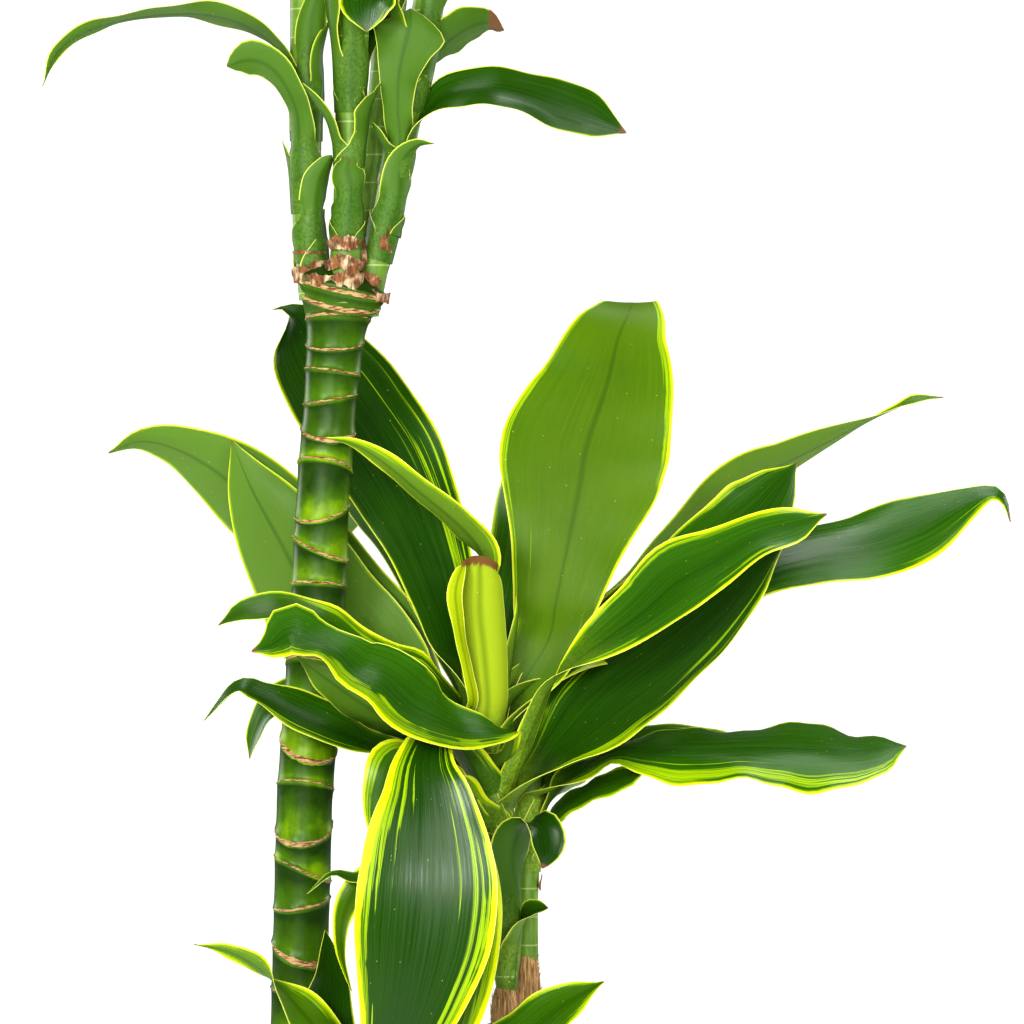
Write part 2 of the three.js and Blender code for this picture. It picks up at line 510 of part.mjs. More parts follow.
const RIGHT_LEAVES = {
  dBroad: {
    foot: 850, leave: 868, turn: -90, half: 21, peak: 0.78, base: 0.4, cup: 0.3, tip: 3, swell: 1.8,
    path: [
      [-4, -6, 888, 0, 1, 0], [-1, -9, 908, 0, 1, 0], [0, -6, 925, 0, 0.8, -0.6],
      [1, 4, 932, 0, -0.2, -1], [1, 15, 927, 0, -1, -0.6],
    ],
  },
  dLow: {
    foot: 815, leave: 842, turn: -60, half: 11, peak: 0.4, base: 0.9, cup: 0.8, wave: 0,
    path: [
      [-5, -1, 860, -0.5, 0.8, 0.1], [2, -3, 869, -0.4, 0.6, 0.6], [11, -4, 870, 0, 0.4, 0.9],
    ],
  },
  dLeft: {
    foot: 850, leave: 866, turn: -150, half: 8, peak: 0.4, base: 0.9, cup: 0.8, wave: 0,
    path: [
      [-17, -2, 874, 0.9, 0.4, 0], [-20, -3, 881, 0.9, 0.4, 0],
    ],
  },
  dLong: {
    foot: 848, leave: 864, turn: -10, half: 19, peak: 0.76, base: 0.38, tip: 1.8,
    path: [
      [2, 1, 878, -0.9, -0.2, 0.4], [9, 0, 888, -0.7, -0.4, 0.6], [20, -2, 895, -0.3, -0.6, 0.7],
      [35, -4, 897, 0, -0.7, 0.7], [51, -6, 895, 0.1, -0.7, 0.7], [71, -8, 888, 0.2, -0.7, 0.7],
      [88, -9, 882, 0.2, -0.7, 0.7], [107, -9, 875, 0.4, -0.7, 0.5],
    ],
  },
  eBrown: {
    foot: 885, leave: 905, turn: 20, half: 15, peak: 0.7, tip: 3,
    path: [
      [14, 14, 918, -0.7, 0.4, 0.5], [24, 16, 927, -0.4, 0.5, 0.8], [36, 16, 932, 0, 0.5, 0.8],
      [46, 14, 928, 0.5, 0.4, 0.8],
    ],
  },
};
const RIGHT_CROWN = [
  { foot: 948, turn: 332, length: 250, half: 23, lift: 60, droop: 30 },
  { foot: 962, turn: 20, length: 250, half: 23, lift: 64, droop: 30 },
  { foot: 976, turn: 306, length: 220, half: 21, lift: 68, droop: 30 },
  { foot: 988, turn: 355, length: 210, half: 20, lift: 74, droop: 30 },
  { foot: 1000, turn: 38, length: 180, half: 18, lift: 80, droop: 10 },
  { foot: 1012, turn: 320, length: 130, half: 14, lift: 86, droop: -40 },
];

const BACK_CROWN = [
  { foot: 935, turn: 100, length: 240, half: 23, lift: 55, droop: 30 },
  { foot: 955, turn: 55, length: 240, half: 23, lift: 62, droop: 30 },
  { foot: 975, turn: 116, length: 220, half: 21, lift: 68, droop: 30 },
  { foot: 995, turn: 78, length: 200, half: 20, lift: 74, droop: 30 },
  { foot: 1015, turn: 100, length: 170, half: 18, lift: 82, droop: 0 },
  { foot: 1028, turn: 60, length: 120, half: 14, lift: 86, droop: -40 },
];

function ease(x) {
  const t = Math.min(Math.max(x, 0), 1);
  return t * t * (3 - 2 * t);
}

function toSolid(geometry) {
  const plain = geometry.clone();
  plain.deleteAttribute('normal');
  plain.deleteAttribute('uv');
  const welded = mergeVertices(plain, 1e-4);
  return new wasm.Manifold(new wasm.Mesh({
    numProp: 3,
    vertProperties: new Float32Array(welded.attributes.position.array),
    triVerts: new Uint32Array(welded.index.array),
  }));
}

function toGeometry(solid) {
  const mesh = solid.getMesh();
  const geometry = new THREE.BufferGeometry();
  geometry.setAttribute('position', new THREE.BufferAttribute(mesh.vertProperties, 3));
  geometry.setIndex(new THREE.BufferAttribute(mesh.triVerts, 1));
  return geometry;
}

function indexed(points, triangles) {
  const geometry = new THREE.BufferGeometry();
  geometry.setAttribute('position', new THREE.Float32BufferAttribute(points, 3));
  geometry.setIndex(triangles);
  return geometry;
}

// A closed upright column through rings [x, y, z, radius, lift to the right, lift to the back].
function column(rings, sides, grow = 0) {
  const points = [];
  const triangles = [];
  for (const [x, y, z, radius, right = 0, back = 0] of rings) {
    for (let k = 0; k < sides; k += 1) {
      const angle = (k / sides) * 2 * Math.PI;
      const across = Math.cos(angle);
      const deep = Math.sin(angle);
      points.push(x + (radius + grow) * across, y + (radius + grow) * deep, z + right * across + back * deep);
    }
  }
  for (let i = 0; i + 1 < rings.length; i += 1) {
    for (let k = 0; k < sides; k += 1) {
      const a = i * sides + k;
      const b = i * sides + ((k + 1) % sides);
      triangles.push(a, b, b + sides, a, b + sides, a + sides);
    }
  }
  const top = (rings.length - 1) * sides;
  for (let k = 1; k + 1 < sides; k += 1) {
    triangles.push(0, k + 1, k, top, top + k, top + k + 1);
  }
  return indexed(points, triangles);
}

// The row [x, y, z, radius] of a stem or cane at a height.
function rowAt(rows, z) {
  let upper = 1;
  while (upper < rows.length - 1 && rows[upper][2] < z) {
    upper += 1;
  }
  const [from, to] = [rows[upper - 1], rows[upper]];
  const share = (z - from[2]) / (to[2] - from[2]);
  return from.map((value, k) => value + (to[k] - value) * share);
}

// The tall cane's rings: two for every scar, a ridge that tapers off above it.
function scarredRings(rows, scars) {
  const rings = [[...rows[0]], [...rowAt(rows, SOIL_TOP)]];
  for (const [left, front, right] of scars) {
    const middle = (left + right) / 2;
    const lean = [(right - left) / 2, middle - front];
    const below = rowAt(rows, middle - SCAR_HEIGHT);
    const ridge = rowAt(rows, middle);
    rings.push([...below, ...lean]);
    rings.push([ridge[0], ridge[1], ridge[2], ridge[3] + SCAR_STAND_OUT, ...lean]);
  }
  rings.push([...rows.at(-2)], [...rows.at(-1)]);
  return rings;
}

// A plain hole that takes the lowest part of a stem or cane.
function socket(rows, bottom, top, sides) {
  const foot = rowAt(rows, bottom);
  const mouth = rowAt(rows, top);
  return toSolid(column([[foot[0], foot[1], bottom - GAP, foot[3]], [...mouth]], sides, GAP));
}

// The two rows where a leaf grows out of its stem, each looking at the stem's middle.
function claspRows(stem, { foot, leave, turn }) {
  const out = [Math.cos(THREE.MathUtils.degToRad(turn)), Math.sin(THREE.MathUtils.degToRad(turn))];
  return [Math.max(foot, leave - CLASP), leave].map((z) => {
    const [x, y, , radius] = rowAt(stem, z);
    const depth = radius - CLASP_DEPTH;
    return [x + depth * out[0], y + depth * out[1], z, -out[0], -out[1], 0];
  });
}

// A leaf that leaves its stem steeply and arches over in one plane.
function archedLeaf(stem, { foot, turn, length, half, lift, droop }) {
  const steps = 5;
  const clasp = 18;
  const leave = foot + clasp;
  const out = [Math.cos(THREE.MathUtils.degToRad(turn)), Math.sin(THREE.MathUtils.degToRad(turn))];
  const [sx, sy, , radius] = rowAt(stem, leave);
  const at = [sx + (radius + BLADE) * out[0], sy + (radius + BLADE) * out[1], leave];
  const path = [];
  for (let k = 0; k < steps; k += 1) {
    const rise = THREE.MathUtils.degToRad(lift - ((lift + droop) * k) / (steps - 1));
    const look = THREE.MathUtils.degToRad(lift - ((lift + droop) * (k + 0.5)) / (steps - 1));
    at[0] += (length / steps) * Math.cos(rise) * out[0];
    at[1] += (length / steps) * Math.cos(rise) * out[1];
    at[2] += (length / steps) * Math.sin(rise);
    path.push([...at, -Math.sin(look) * out[0], -Math.sin(look) * out[1], Math.cos(look)]);
  }
  return { foot, leave, turn, half, path };
}

// A leaf blade as a closed slab, its two faces split into triangles alike.
function blade(stem, leaf) {
  const form = { ...LEAF_FORM, ...leaf };
  const rows = [...claspRows(stem, leaf), ...leaf.path];
  const midrib = new THREE.CatmullRomCurve3(
    rows.map(([x, y, z]) => new THREE.Vector3(x, y, z)), false, 'catmullrom', 0.5);
  const facing = new THREE.CatmullRomCurve3(
    rows.map((row) => new THREE.Vector3(row[3], row[4], row[5]).normalize()), false, 'catmullrom', 0.5);
  const length = midrib.getLength();
  const count = Math.min(Math.max(Math.round(length / ROW_LENGTH) + 1, 3), 9);
  const columns = form.half > WIDE_HALF ? 4 : 2;
  const upper = [];
  const lower = [];
  for (let i = 0; i <= count; i += 1) {
    const s = i / count;
    const t = midrib.getUtoTmapping(s);
    const along = midrib.getTangent(t);
    const face = facing.getPoint(t);
    face.addScaledVector(along, -face.dot(along)).normalize();
    const side = along.clone().cross(face);
    const rise = form.base + (1 - form.base) * ease(s / form.peak) ** form.swell;
    const fall = 1 - Math.max((s - form.peak) / (1 - form.peak), 0) ** form.tip;
    const width = form.half * Math.max(s < form.peak ? rise : fall, form.end);
    const bend = form.cup + (form.wrap - form.cup) * (1 - ease(s / form.sheath));
    const rippling = form.wave * ease((s - 0.15) / 0.25) * ease((1 - s) / 0.15);
    for (let j = 0; j <= columns; j += 1) {
      const u = (2 * j) / columns - 1;
      const turn = 2 * Math.PI * (form.waves * s + form.phase + (u < 0 ? 0.5 : 0));
      const raised = (width / bend) * (1 - Math.cos(bend * u)) + rippling * u * u * Math.sin(turn);
      const middle = midrib.getPoint(t)
        .addScaledVector(side, (width / bend) * Math.sin(bend * u))
        .addScaledVector(face, raised);
      const normal = face.clone().multiplyScalar(Math.cos(bend * u))
        .addScaledVector(side, -Math.sin(bend * u));
      upper.push(middle.clone().addScaledVector(normal, BLADE / 2));
      lower.push(middle.clone().addScaledVector(normal, -BLADE / 2));
    }
  }
  const points = [...upper, ...lower].flatMap((point) => [point.x, point.y, point.z]);
  const triangles = [];
  const below = upper.length;
  const at = (i, j) => i * (columns + 1) + j;
  for (let i = 0; i < count; i += 1) {
    for (let j = 0; j < columns; j += 1) {
      const [a, b, c, d] = [at(i, j), at(i, j + 1), at(i + 1, j + 1), at(i + 1, j)];
      triangles.push(a, b, c, a, c, d);
      triangles.push(below + a, below + c, below + b, below + a, below + d, below + c);
    }
  }
  const rim = [];
  for (let j = 0; j < columns; j += 1) {
    rim.push(at(0, j));
  }
  for (let i = 0; i < count; i += 1) {
    rim.push(at(i, columns));
  }
  for (let j = columns; j > 0; j -= 1) {
    rim.push(at(count, j));
  }
  for (let i = count; i > 0; i -= 1) {
    rim.push(at(i, 0));
  }
  rim.forEach((from, k) => {
    const to = rim[(k + 1) % rim.length];
    triangles.push(from, below + from, below + to, from, below + to, to);
  });
  return indexed(points, triangles);
}

// A stem with its leaves, grown together into one solid.
function leafyShoot(stem, leaves, crown = []) {
  const all = [...Object.values(leaves), ...crown.map((leaf) => archedLeaf(stem, leaf))];
  let shoot = toSolid(column(stem, STEM_SIDES));
  for (const leaf of all) {
    shoot = shoot.add(toSolid(blade(stem, leaf)));
  }
  return filled(shoot);
}

// The outer shell alone: the narrow spaces shut in between clasping leaf bases are filled.
function filled(solid) {
  const shells = solid.decompose().sort((a, b) => b.volume() - a.volume());
  return shells[0];
}

function pot() {
  const slope = (POT_SHOULDER_RADIUS - POT_FOOT_RADIUS) / POT_SHOULDER_HEIGHT;
  const profile = [
    [0, 0], [38, 0], [40, POT_RECESS], [86, POT_RECESS], [88, 0], [POT_FOOT_RADIUS, 0],
    [POT_SHOULDER_RADIUS, POT_SHOULDER_HEIGHT], [POT_RIM_RADIUS - 1, POT_SHOULDER_HEIGHT + 2],
    [POT_RIM_RADIUS, POT_SHOULDER_HEIGHT + 4], [POT_RIM_RADIUS, POT_HEIGHT - 2],
    [POT_RIM_RADIUS - 2, POT_HEIGHT], [POT_MOUTH_RADIUS + 1.5, POT_HEIGHT],
    [POT_MOUTH_RADIUS, POT_HEIGHT - 1.5], [POT_MOUTH_RADIUS, POT_SHOULDER_HEIGHT],
    [POT_FOOT_RADIUS - POT_WALL + slope * POT_FLOOR, POT_FLOOR], [0, POT_FLOOR],
  ];
  let solid = toSolid(turned(profile));
  for (let k = 0; k < DRAIN_HOLES; k += 1) {
    const angle = (k / DRAIN_HOLES) * 2 * Math.PI;
    const [x, y] = [DRAIN_CIRCLE * Math.cos(angle), DRAIN_CIRCLE * Math.sin(angle)];
    const drill = column([[x, y, -1, DRAIN_RADIUS], [x, y, POT_FLOOR + 1, DRAIN_RADIUS]], STEM_SIDES);
    solid = solid.subtract(toSolid(drill));
  }
  return solid;
}

// A solid turned about the pot's axis from points [radius, height], the first and last on the axis.
function turned(profile) {
  const geometry = new THREE.LatheGeometry(profile.map(([r, z]) => new THREE.Vector2(r, z)), POT_SIDES);
  return geometry.rotateX(Math.PI / 2);
}

function soil() {
  const slope = (POT_SHOULDER_RADIUS - POT_FOOT_RADIUS) / POT_SHOULDER_HEIGHT;
  const bottom = POT_FLOOR + GAP;
  const wall = (z) => POT_FOOT_RADIUS - POT_WALL + slope * z - 2 * GAP;
  const profile = [
    [0, bottom], [wall(bottom), bottom], [wall(SOIL_EDGE), SOIL_EDGE], [POT_MOUTH_RADIUS - 12, SOIL_TOP - 1],
    [60, SOIL_TOP + 1], [0, SOIL_TOP],
  ];
  const canes = [[TALL_CANE, CANE_SIDES], [MIDDLE_CANE, CANE_SIDES], [LOW_CANE, CANE_SIDES]];
  return canes.reduce(
    (solid, [rows, sides]) => solid.subtract(socket(rows, CANE_FOOT, SOIL_TOP + 4, sides)),
    toSolid(turned(profile)));
}

function withSockets(solid, stems) {
  return stems.reduce(
    (cane, stem) => cane.subtract(socket(stem, stem[0][2], stem[1][2], STEM_SIDES)), solid);
}

const tallCane = toSolid(column(scarredRings(TALL_CANE, TALL_SCARS), CANE_SIDES));
const middleCane = toSolid(column(MIDDLE_CANE, CANE_SIDES))
  .add(toSolid(column(FRONT_BUD, STEM_SIDES)))
  .add(toSolid(column(BACK_BUD, STEM_SIDES)));
const lowCane = toSolid(column(LOW_CANE, CANE_SIDES));

const group = new THREE.Group();
group.name = 'potted_corn_plant';

function piece(name, solid, color, roughness) {
  const mesh = new THREE.Mesh(toGeometry(solid), new THREE.MeshStandardMaterial({ color, roughness }));
  mesh.name = name;
  group.add(mesh);
}

piece('pot', pot(), 0x2f3133, 0.6);
piece('soil', soil(), 0x3a2a1e, 1);
piece('tall_cane', withSockets(tallCane, [LEFT_STEM, FRONT_STEM, RIGHT_STEM, BACK_STEM]), 0x3f6b1f, 0.5);
piece('tall_shoot_left', leafyShoot(LEFT_STEM, LEFT_LEAVES, LEFT_CROWN), 0x2f7a2a, 0.5);
piece('tall_shoot_front', leafyShoot(FRONT_STEM, FRONT_LEAVES, FRONT_CROWN), 0x357f2c, 0.5);
piece('tall_shoot_right', leafyShoot(RIGHT_STEM, RIGHT_LEAVES, RIGHT_CROWN), 0x2f7a2a, 0.5);
piece('tall_shoot_back', leafyShoot(BACK_STEM, {}, BACK_CROWN), 0x286f26, 0.5);
piece('middle_cane', withSockets(middleCane, [MIDDLE_STEM, SIDE_STEM]), 0x8a7350, 0.8);
piece('middle_shoot', leafyShoot(MIDDLE_STEM, MIDDLE_LEAVES), 0x2c7427, 0.5);
piece('side_shoot', leafyShoot(SIDE_STEM, SIDE_LEAVES), 0x357f2c, 0.5);
piece('low_cane', withSockets(lowCane, [LOW_STEM]), 0x8a7350, 0.8);
piece('low_shoot', leafyShoot(LOW_STEM, LOW_LEAVES), 0x357f2c, 0.5);

export default group;
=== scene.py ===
"""A corn plant in a plain pot: three canes of stepped height that carry rosettes of striped leaves.

Sizes are in millimetres and turned to metres as each mesh is made. The origin is the middle of the
pot's underside, +Z is up and the side seen in the picture is -Y.
"""
import math

import bpy
import numpy as np
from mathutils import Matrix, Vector


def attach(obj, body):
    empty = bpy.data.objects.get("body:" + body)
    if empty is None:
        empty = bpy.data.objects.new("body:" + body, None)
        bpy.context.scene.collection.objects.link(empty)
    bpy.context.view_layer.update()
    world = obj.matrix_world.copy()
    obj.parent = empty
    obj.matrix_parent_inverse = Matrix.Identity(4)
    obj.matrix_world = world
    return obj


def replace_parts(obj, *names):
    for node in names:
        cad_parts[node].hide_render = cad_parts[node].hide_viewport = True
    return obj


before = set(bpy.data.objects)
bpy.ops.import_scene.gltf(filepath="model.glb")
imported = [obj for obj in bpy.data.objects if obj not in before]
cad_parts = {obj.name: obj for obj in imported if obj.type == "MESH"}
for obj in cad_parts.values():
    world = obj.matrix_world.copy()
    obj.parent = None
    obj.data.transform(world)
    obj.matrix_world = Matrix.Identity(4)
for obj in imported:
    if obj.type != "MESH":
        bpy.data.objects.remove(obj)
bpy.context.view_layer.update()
MM = 0.001


# ---- Pot ---------------------------------------------------------------------------------------
# A plain nursery pot, injection moulded in black polypropylene: a tapered wall, a rim band with a
# rounded lip, a raised floor and six drain holes. The mould leaves it matt and finely pebbled.
POT_HEIGHT = 260
POT_FOOT_RADIUS = 100
POT_SHOULDER_RADIUS = 135
POT_SHOULDER_HEIGHT = 234
POT_RIM_RADIUS = 141.5
POT_MOUTH_RADIUS = 132
POT_WALL = 3
POT_FLOOR = 5
POT_SIDES = 160
GROOVE = (38, 40, 86, 88)     # radii of the shallow groove between the flat middle and the foot ring
GROOVE_DEPTH = 3
DRAIN_HOLES = 6
DRAIN_RADIUS = 4.5
DRAIN_CIRCLE = 65
DRILL_PAST = 2                # how far the drill stands out of the floor on both sides
SHARP_ANGLE = 50              # edges that turn by more than this many degrees are not smoothed
POT_BLACK = "2B2D2F"
POT_WORN = "3B3E40"
POT_DUST = "7A6F60"
WEAR_CLOUD = 71.43            # size of the faint clouds of wear
DUST_SMEAR = 22.22
DUST_AT_RIM = (200, 262)      # heights between which the dust comes in
DUST_AT_FOOT = (50, 0)
PEBBLE = 0.9                  # spacing of the moulded pebble grain
POLYPROPYLENE_IOR = 1.49


def linear(colour):
    """An sRGB hex colour as the linear red, green, blue and alpha that shaders take."""
    shares = [int(colour[k:k + 2], 16) / 255 for k in (0, 2, 4)]
    return [c / 12.92 if c <= 0.04045 else ((c + 0.055) / 1.055) ** 2.4 for c in shares] + [1]


def fill(node, *given):
    """Gives a node its inputs in their order, as values, hex colours or links; a dict at the end has
    inputs by name. Returns the node's first output."""
    sockets = [s for s in node.inputs if s.enabled]
    *in_order, named = given if given and isinstance(given[-1], dict) else (*given, {})
    pairs = [*zip(sockets, in_order)]
    pairs += [(next(s for s in sockets if s.name == name), value) for name, value in named.items()]
    for socket, value in pairs:
        if isinstance(value, bpy.types.NodeSocket):
            node.id_data.links.new(value, socket)
        else:
            socket.default_value = linear(value) if isinstance(value, str) else value
    return next((s for s in node.outputs if s.enabled), None)


def add(tree, kind, *given, **settings):
    """Adds a node with its settings, fills its inputs and gives its first output. Shader nodes go by
    the short form of their name."""
    made = tree.nodes.new(("ShaderNode" if tree.type == "SHADER" else "") + kind)
    for name, value in settings.items():
        setattr(made, name, value)
    return fill(made, *given)


def new_finish(name, **plain):
    """A material with one Principled shader, whose even values are set on the shader itself. With it
    come its tree, that shader and the place on the piece, in metres."""
    finish = bpy.data.materials.new(name)
    finish.use_nodes = True
    tree = finish.node_tree
    shader = tree.nodes["Principled BSDF"]
    fill(shader, {key.replace("_", " "): value for key, value in plain.items()})
    return finish, tree, shader, add(tree, "TexCoord").node.outputs["Object"]


def grained(name, dark, light, size, detail, rough, share, strength, depth, stretch=1, **plain):
    """A material whose colour and relief both follow one noise: dark to light over a share of it, drawn
    out upwards by a stretch below 1. size is the spacing of the grain and depth that of the relief."""
    finish, tree, shader, here = new_finish(name, **plain)
    at = here if stretch == 1 else add(tree, "Mapping", here, {"Scale": (1, 1, stretch)})
    grain = add(tree, "TexNoise", at, 1 / (size * MM), detail, rough)
    coloured = add(tree, "Mix", add(tree, "MapRange", grain, *share), dark, light, data_type="RGBA")
    relief = add(tree, "Bump", {"Height": grain, "Strength": strength, "Distance": depth * MM})
    fill(shader, {"Base Color": coloured, "Normal": relief})
    return finish, tree, shader, here, coloured


def new_object(name, points, faces):
    """An object with a mesh from points in millimetres."""
    mesh = bpy.data.meshes.new(name)
    mesh.from_pydata((np.asarray(points, float) * MM).tolist(), [], [list(f) for f in faces])
    made = bpy.data.objects.new(name, mesh)
    bpy.context.scene.collection.objects.link(made)
    return made


def new_piece(name, points, faces, finish, slot, attributes=None):
    """A smooth piece, with vector attributes for its material."""
    piece = new_object(name, points, faces)
    for key, values in (attributes or {}).items():
        layer = piece.data.attributes.new(key, "FLOAT_VECTOR", "POINT")
        layer.data.foreach_set("vector", np.asarray(values, np.float32).ravel())
    piece.data.materials.append(finish)
    piece.data.validate()
    piece.data.shade_smooth()
    piece.data.set_sharp_from_angle(angle=math.radians(SHARP_ANGLE))
    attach(piece, "root")
    return piece


def apply_modifiers(piece):
    """Puts the result of a piece's modifiers into its mesh."""
    made = bpy.data.meshes.new_from_object(piece.evaluated_get(bpy.context.evaluated_depsgraph_get()))
    piece.modifiers.clear()
    piece.data = made


def round_angles(sides):
    return np.arange(sides) * 2 * math.pi / sides


def circle(x, y, z, radius, angles):
    """A ring of points about an upright axis; height and radius may differ from point to point."""
    return np.stack([x + radius * np.cos(angles), y + radius * np.sin(angles), z + 0 * angles], -1)


def stacked(rings, ends):
    """Points and faces of a stack of rings, closed to one middle point below and one above."""
    count, sides = len(rings), len(rings[0])
    top = (count - 1) * sides
    faces = []
    for k in range(sides):
        n = (k + 1) % sides
        faces += [(i * sides + k, i * sides + n, (i + 1) * sides + n, (i + 1) * sides + k)
                  for i in range(count - 1)]
        faces += [(count * sides, n, k), (count * sides + 1, top + k, top + n)]
    return np.concatenate([*rings, ends]), faces


def turned(profile, sides):
    """Points and faces of a profile [radius, height] turned about Z, both its ends being on the axis."""
    rings = [circle(0, 0, z, r, round_angles(sides)) for r, z in profile[1:-1]]
    return stacked(rings, [(0, 0, profile[0][1]), (0, 0, profile[-1][1])])


def rounded(profile, reach=1.2, steps=3):
    """The profile with every corner inside it turned into a short curve."""
    out = [profile[0]]
    for before, corner, after in zip(profile, profile[1:], profile[2:]):
        a, c, b = (np.array(p, float) for p in (before, corner, after))
        first = c + (a - c) * min(0.45, reach / np.linalg.norm(a - c))
        last = c + (b - c) * min(0.45, reach / np.linalg.norm(b - c))
        for t in np.linspace(0, 1, steps + 1):
            out.append(tuple((1 - t) ** 2 * first + 2 * t * (1 - t) * c + t * t * last))
    return out + [profile[-1]]


# Near-black plastic that reads as used, not as a flat silhouette: clouds of grey wear that also turn
# the gloss, a film of brown dust under the rim and at the foot, and a pebble grain that breaks glints.
pot_finish, tree, shader, here = new_finish("moulded_polypropylene", IOR=POLYPROPYLENE_IOR)
height = add(tree, "SeparateXYZ", here).node.outputs["Z"]
cloud = add(tree, "TexNoise", here, 1 / (WEAR_CLOUD * MM), 5, 0.6)
worn = add(tree, "Mix", cloud, POT_BLACK, POT_WORN, data_type="RGBA")
near_rim, near_foot = (add(tree, "MapRange", height, *(z * MM for z in heights))
                       for heights in (DUST_AT_RIM, DUST_AT_FOOT))
both = add(tree, "Math", near_rim, near_foot, operation="MAXIMUM")
smear = add(tree, "TexNoise", here, 1 / (DUST_SMEAR * MM), 8, 0.7)
dusty = add(tree, "MapRange", smear, 0.5, 0.8, 0, 0.5)
dust = add(tree, "Math", dusty, both, operation="MULTIPLY")
coloured = add(tree, "Mix", dust, worn, POT_DUST, data_type="RGBA")
matt = add(tree, "MapRange", cloud, 0, 1, 0.48, 0.66)
pebbles = add(tree, "TexNoise", here, 1 / (PEBBLE * MM), 2)
relief = add(tree, "Bump", {"Height": pebbles, "Strength": 0.35, "Distance": 0.08 * MM})
fill(shader, {"Base Color": coloured, "Roughness": matt, "Normal": relief})

pot_slope = (POT_SHOULDER_RADIUS - POT_FOOT_RADIUS) / POT_SHOULDER_HEIGHT
wall_at = [(POT_FOOT_RADIUS + pot_slope * z, z) for z in (60, 120, 180)]
inner_at = [(r - POT_WALL, z) for r, z in reversed(wall_at)]
pot_profile = rounded([
    (0, 0), *zip(GROOVE, (0, GROOVE_DEPTH, GROOVE_DEPTH, 0)), (POT_FOOT_RADIUS, 0), *wall_at,
    (POT_SHOULDER_RADIUS - 1.6, POT_SHOULDER_HEIGHT - 10), (POT_SHOULDER_RADIUS, POT_SHOULDER_HEIGHT - 8.5),
    (POT_SHOULDER_RADIUS, POT_SHOULDER_HEIGHT), (POT_RIM_RADIUS - 1, POT_SHOULDER_HEIGHT + 2),
    (POT_RIM_RADIUS, POT_SHOULDER_HEIGHT + 4), (POT_RIM_RADIUS, POT_HEIGHT - 3),
    (POT_RIM_RADIUS - 3, POT_HEIGHT), (POT_MOUTH_RADIUS + 2, POT_HEIGHT),
    (POT_MOUTH_RADIUS, POT_HEIGHT - 2), (POT_MOUTH_RADIUS, POT_SHOULDER_HEIGHT), *inner_at,
    (POT_FOOT_RADIUS - POT_WALL + pot_slope * POT_FLOOR, POT_FLOOR), (0, POT_FLOOR),
])
pot = new_piece("pot_shell", *turned(pot_profile, POT_SIDES), pot_finish, "pot_plastic")
low, high = -DRILL_PAST, POT_FLOOR + DRILL_PAST
points, faces = turned([(0, low), (DRAIN_RADIUS, low), (DRAIN_RADIUS, high), (0, high)], 24)
bits = [points + (DRAIN_CIRCLE * math.cos(a), DRAIN_CIRCLE * math.sin(a), 0)
        for a in round_angles(DRAIN_HOLES)]
drill = new_object("drill", np.concatenate(bits), [
    [hole * len(points) + k for k in face] for hole in range(DRAIN_HOLES) for face in faces])
cut = pot.modifiers.new("drain_holes", "BOOLEAN")
cut.object = drill
cut.solver = "EXACT"
apply_modifiers(pot)
bpy.data.objects.remove(drill)
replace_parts(pot, "pot")


# ---- Soil --------------------------------------------------------------------------------------
# Peat potting mix that fills the pot to a little under its rim and is banked up against the canes.
# Loose peat crumbs, chips of bark and grains of white perlite lie on it.
SOIL_EDGE = 232
SOIL_TOP = 236
CANE_FEET = ((-66, 8), (51, 8), (-4, -50))
BANK_HEIGHT = 4
BANK_REACH = 26
CANE_FOOT = 205               # where the canes stand inside the soil
SOIL_GAP = 0.6                # between the soil and the pot's wall
SOIL_SIDES = 120
SOIL_RINGS = 44
SOIL_BUMPS = ((1.1, 1, 46), (0.7, 2, 17), (0.45, 3, 7))     # height, seed and size
CLOD = 4.5455
BARK_GRAIN = 2.9412
PERLITE_PORE = 1.1111
PEAT_DARK = "22170F"
PEAT_LIGHT = "4A3524"
BARK_DARK = "4A2E1B"
BARK_LIGHT = "8A6140"
PERLITE_WHITE = "DAD6CB"


def waves(x, y, seed, size, terms=7):
    """A smooth seeded unevenness between about -1 and 1, with bumps of about that size."""
    draw = np.random.default_rng(seed)
    total = np.zeros_like(np.asarray(x, float))
    for _ in range(terms):
        turn, phase = draw.uniform(0, 2 * math.pi), draw.uniform(0, 2 * math.pi)
        finer = draw.uniform(0.6, 1.7)
        total = total + np.sin((x * math.cos(turn) + y * math.sin(turn)) * 2 * math.pi * finer / size + phase)
    return total / math.sqrt(terms)


def ground(x, y, edge):
    """Height of the soil at a place, edge being how far out it is, from 0 to 1."""
    z = SOIL_TOP + (SOIL_EDGE - SOIL_TOP) * np.clip((edge - 0.86) / 0.14, 0, 1) ** 2
    for high, seed, size in SOIL_BUMPS:
        z = z + high * waves(x, y, seed, size)
    for cx, cy in CANE_FEET:
        z = z + BANK_HEIGHT * np.exp(-((x - cx) ** 2 + (y - cy) ** 2) / BANK_REACH ** 2)
    return z


# Damp peat, almost black in its hollows; bark chips, redder and lighter so that they stand out on it;
# and perlite, near white but greyed in its pores so that it looks like crushed stone, not like paint.
peat = grained("peat_potting_mix", PEAT_DARK, PEAT_LIGHT, CLOD, 9, 0.75, (0.35, 0.7), 0.9, 1.2,
               Roughness=0.95)[0]
bark = grained("pine_bark", BARK_DARK, BARK_LIGHT, BARK_GRAIN, 6, 0.7, (0, 1), 0.7, 0.5,
               Roughness=0.85)[0]
perlite = grained("perlite", PEAT_LIGHT, PERLITE_WHITE, PERLITE_PORE, 4, 0.5, (0, 1, 0.7, 1), 0.8, 0.4,
                  Roughness=0.9)[0]

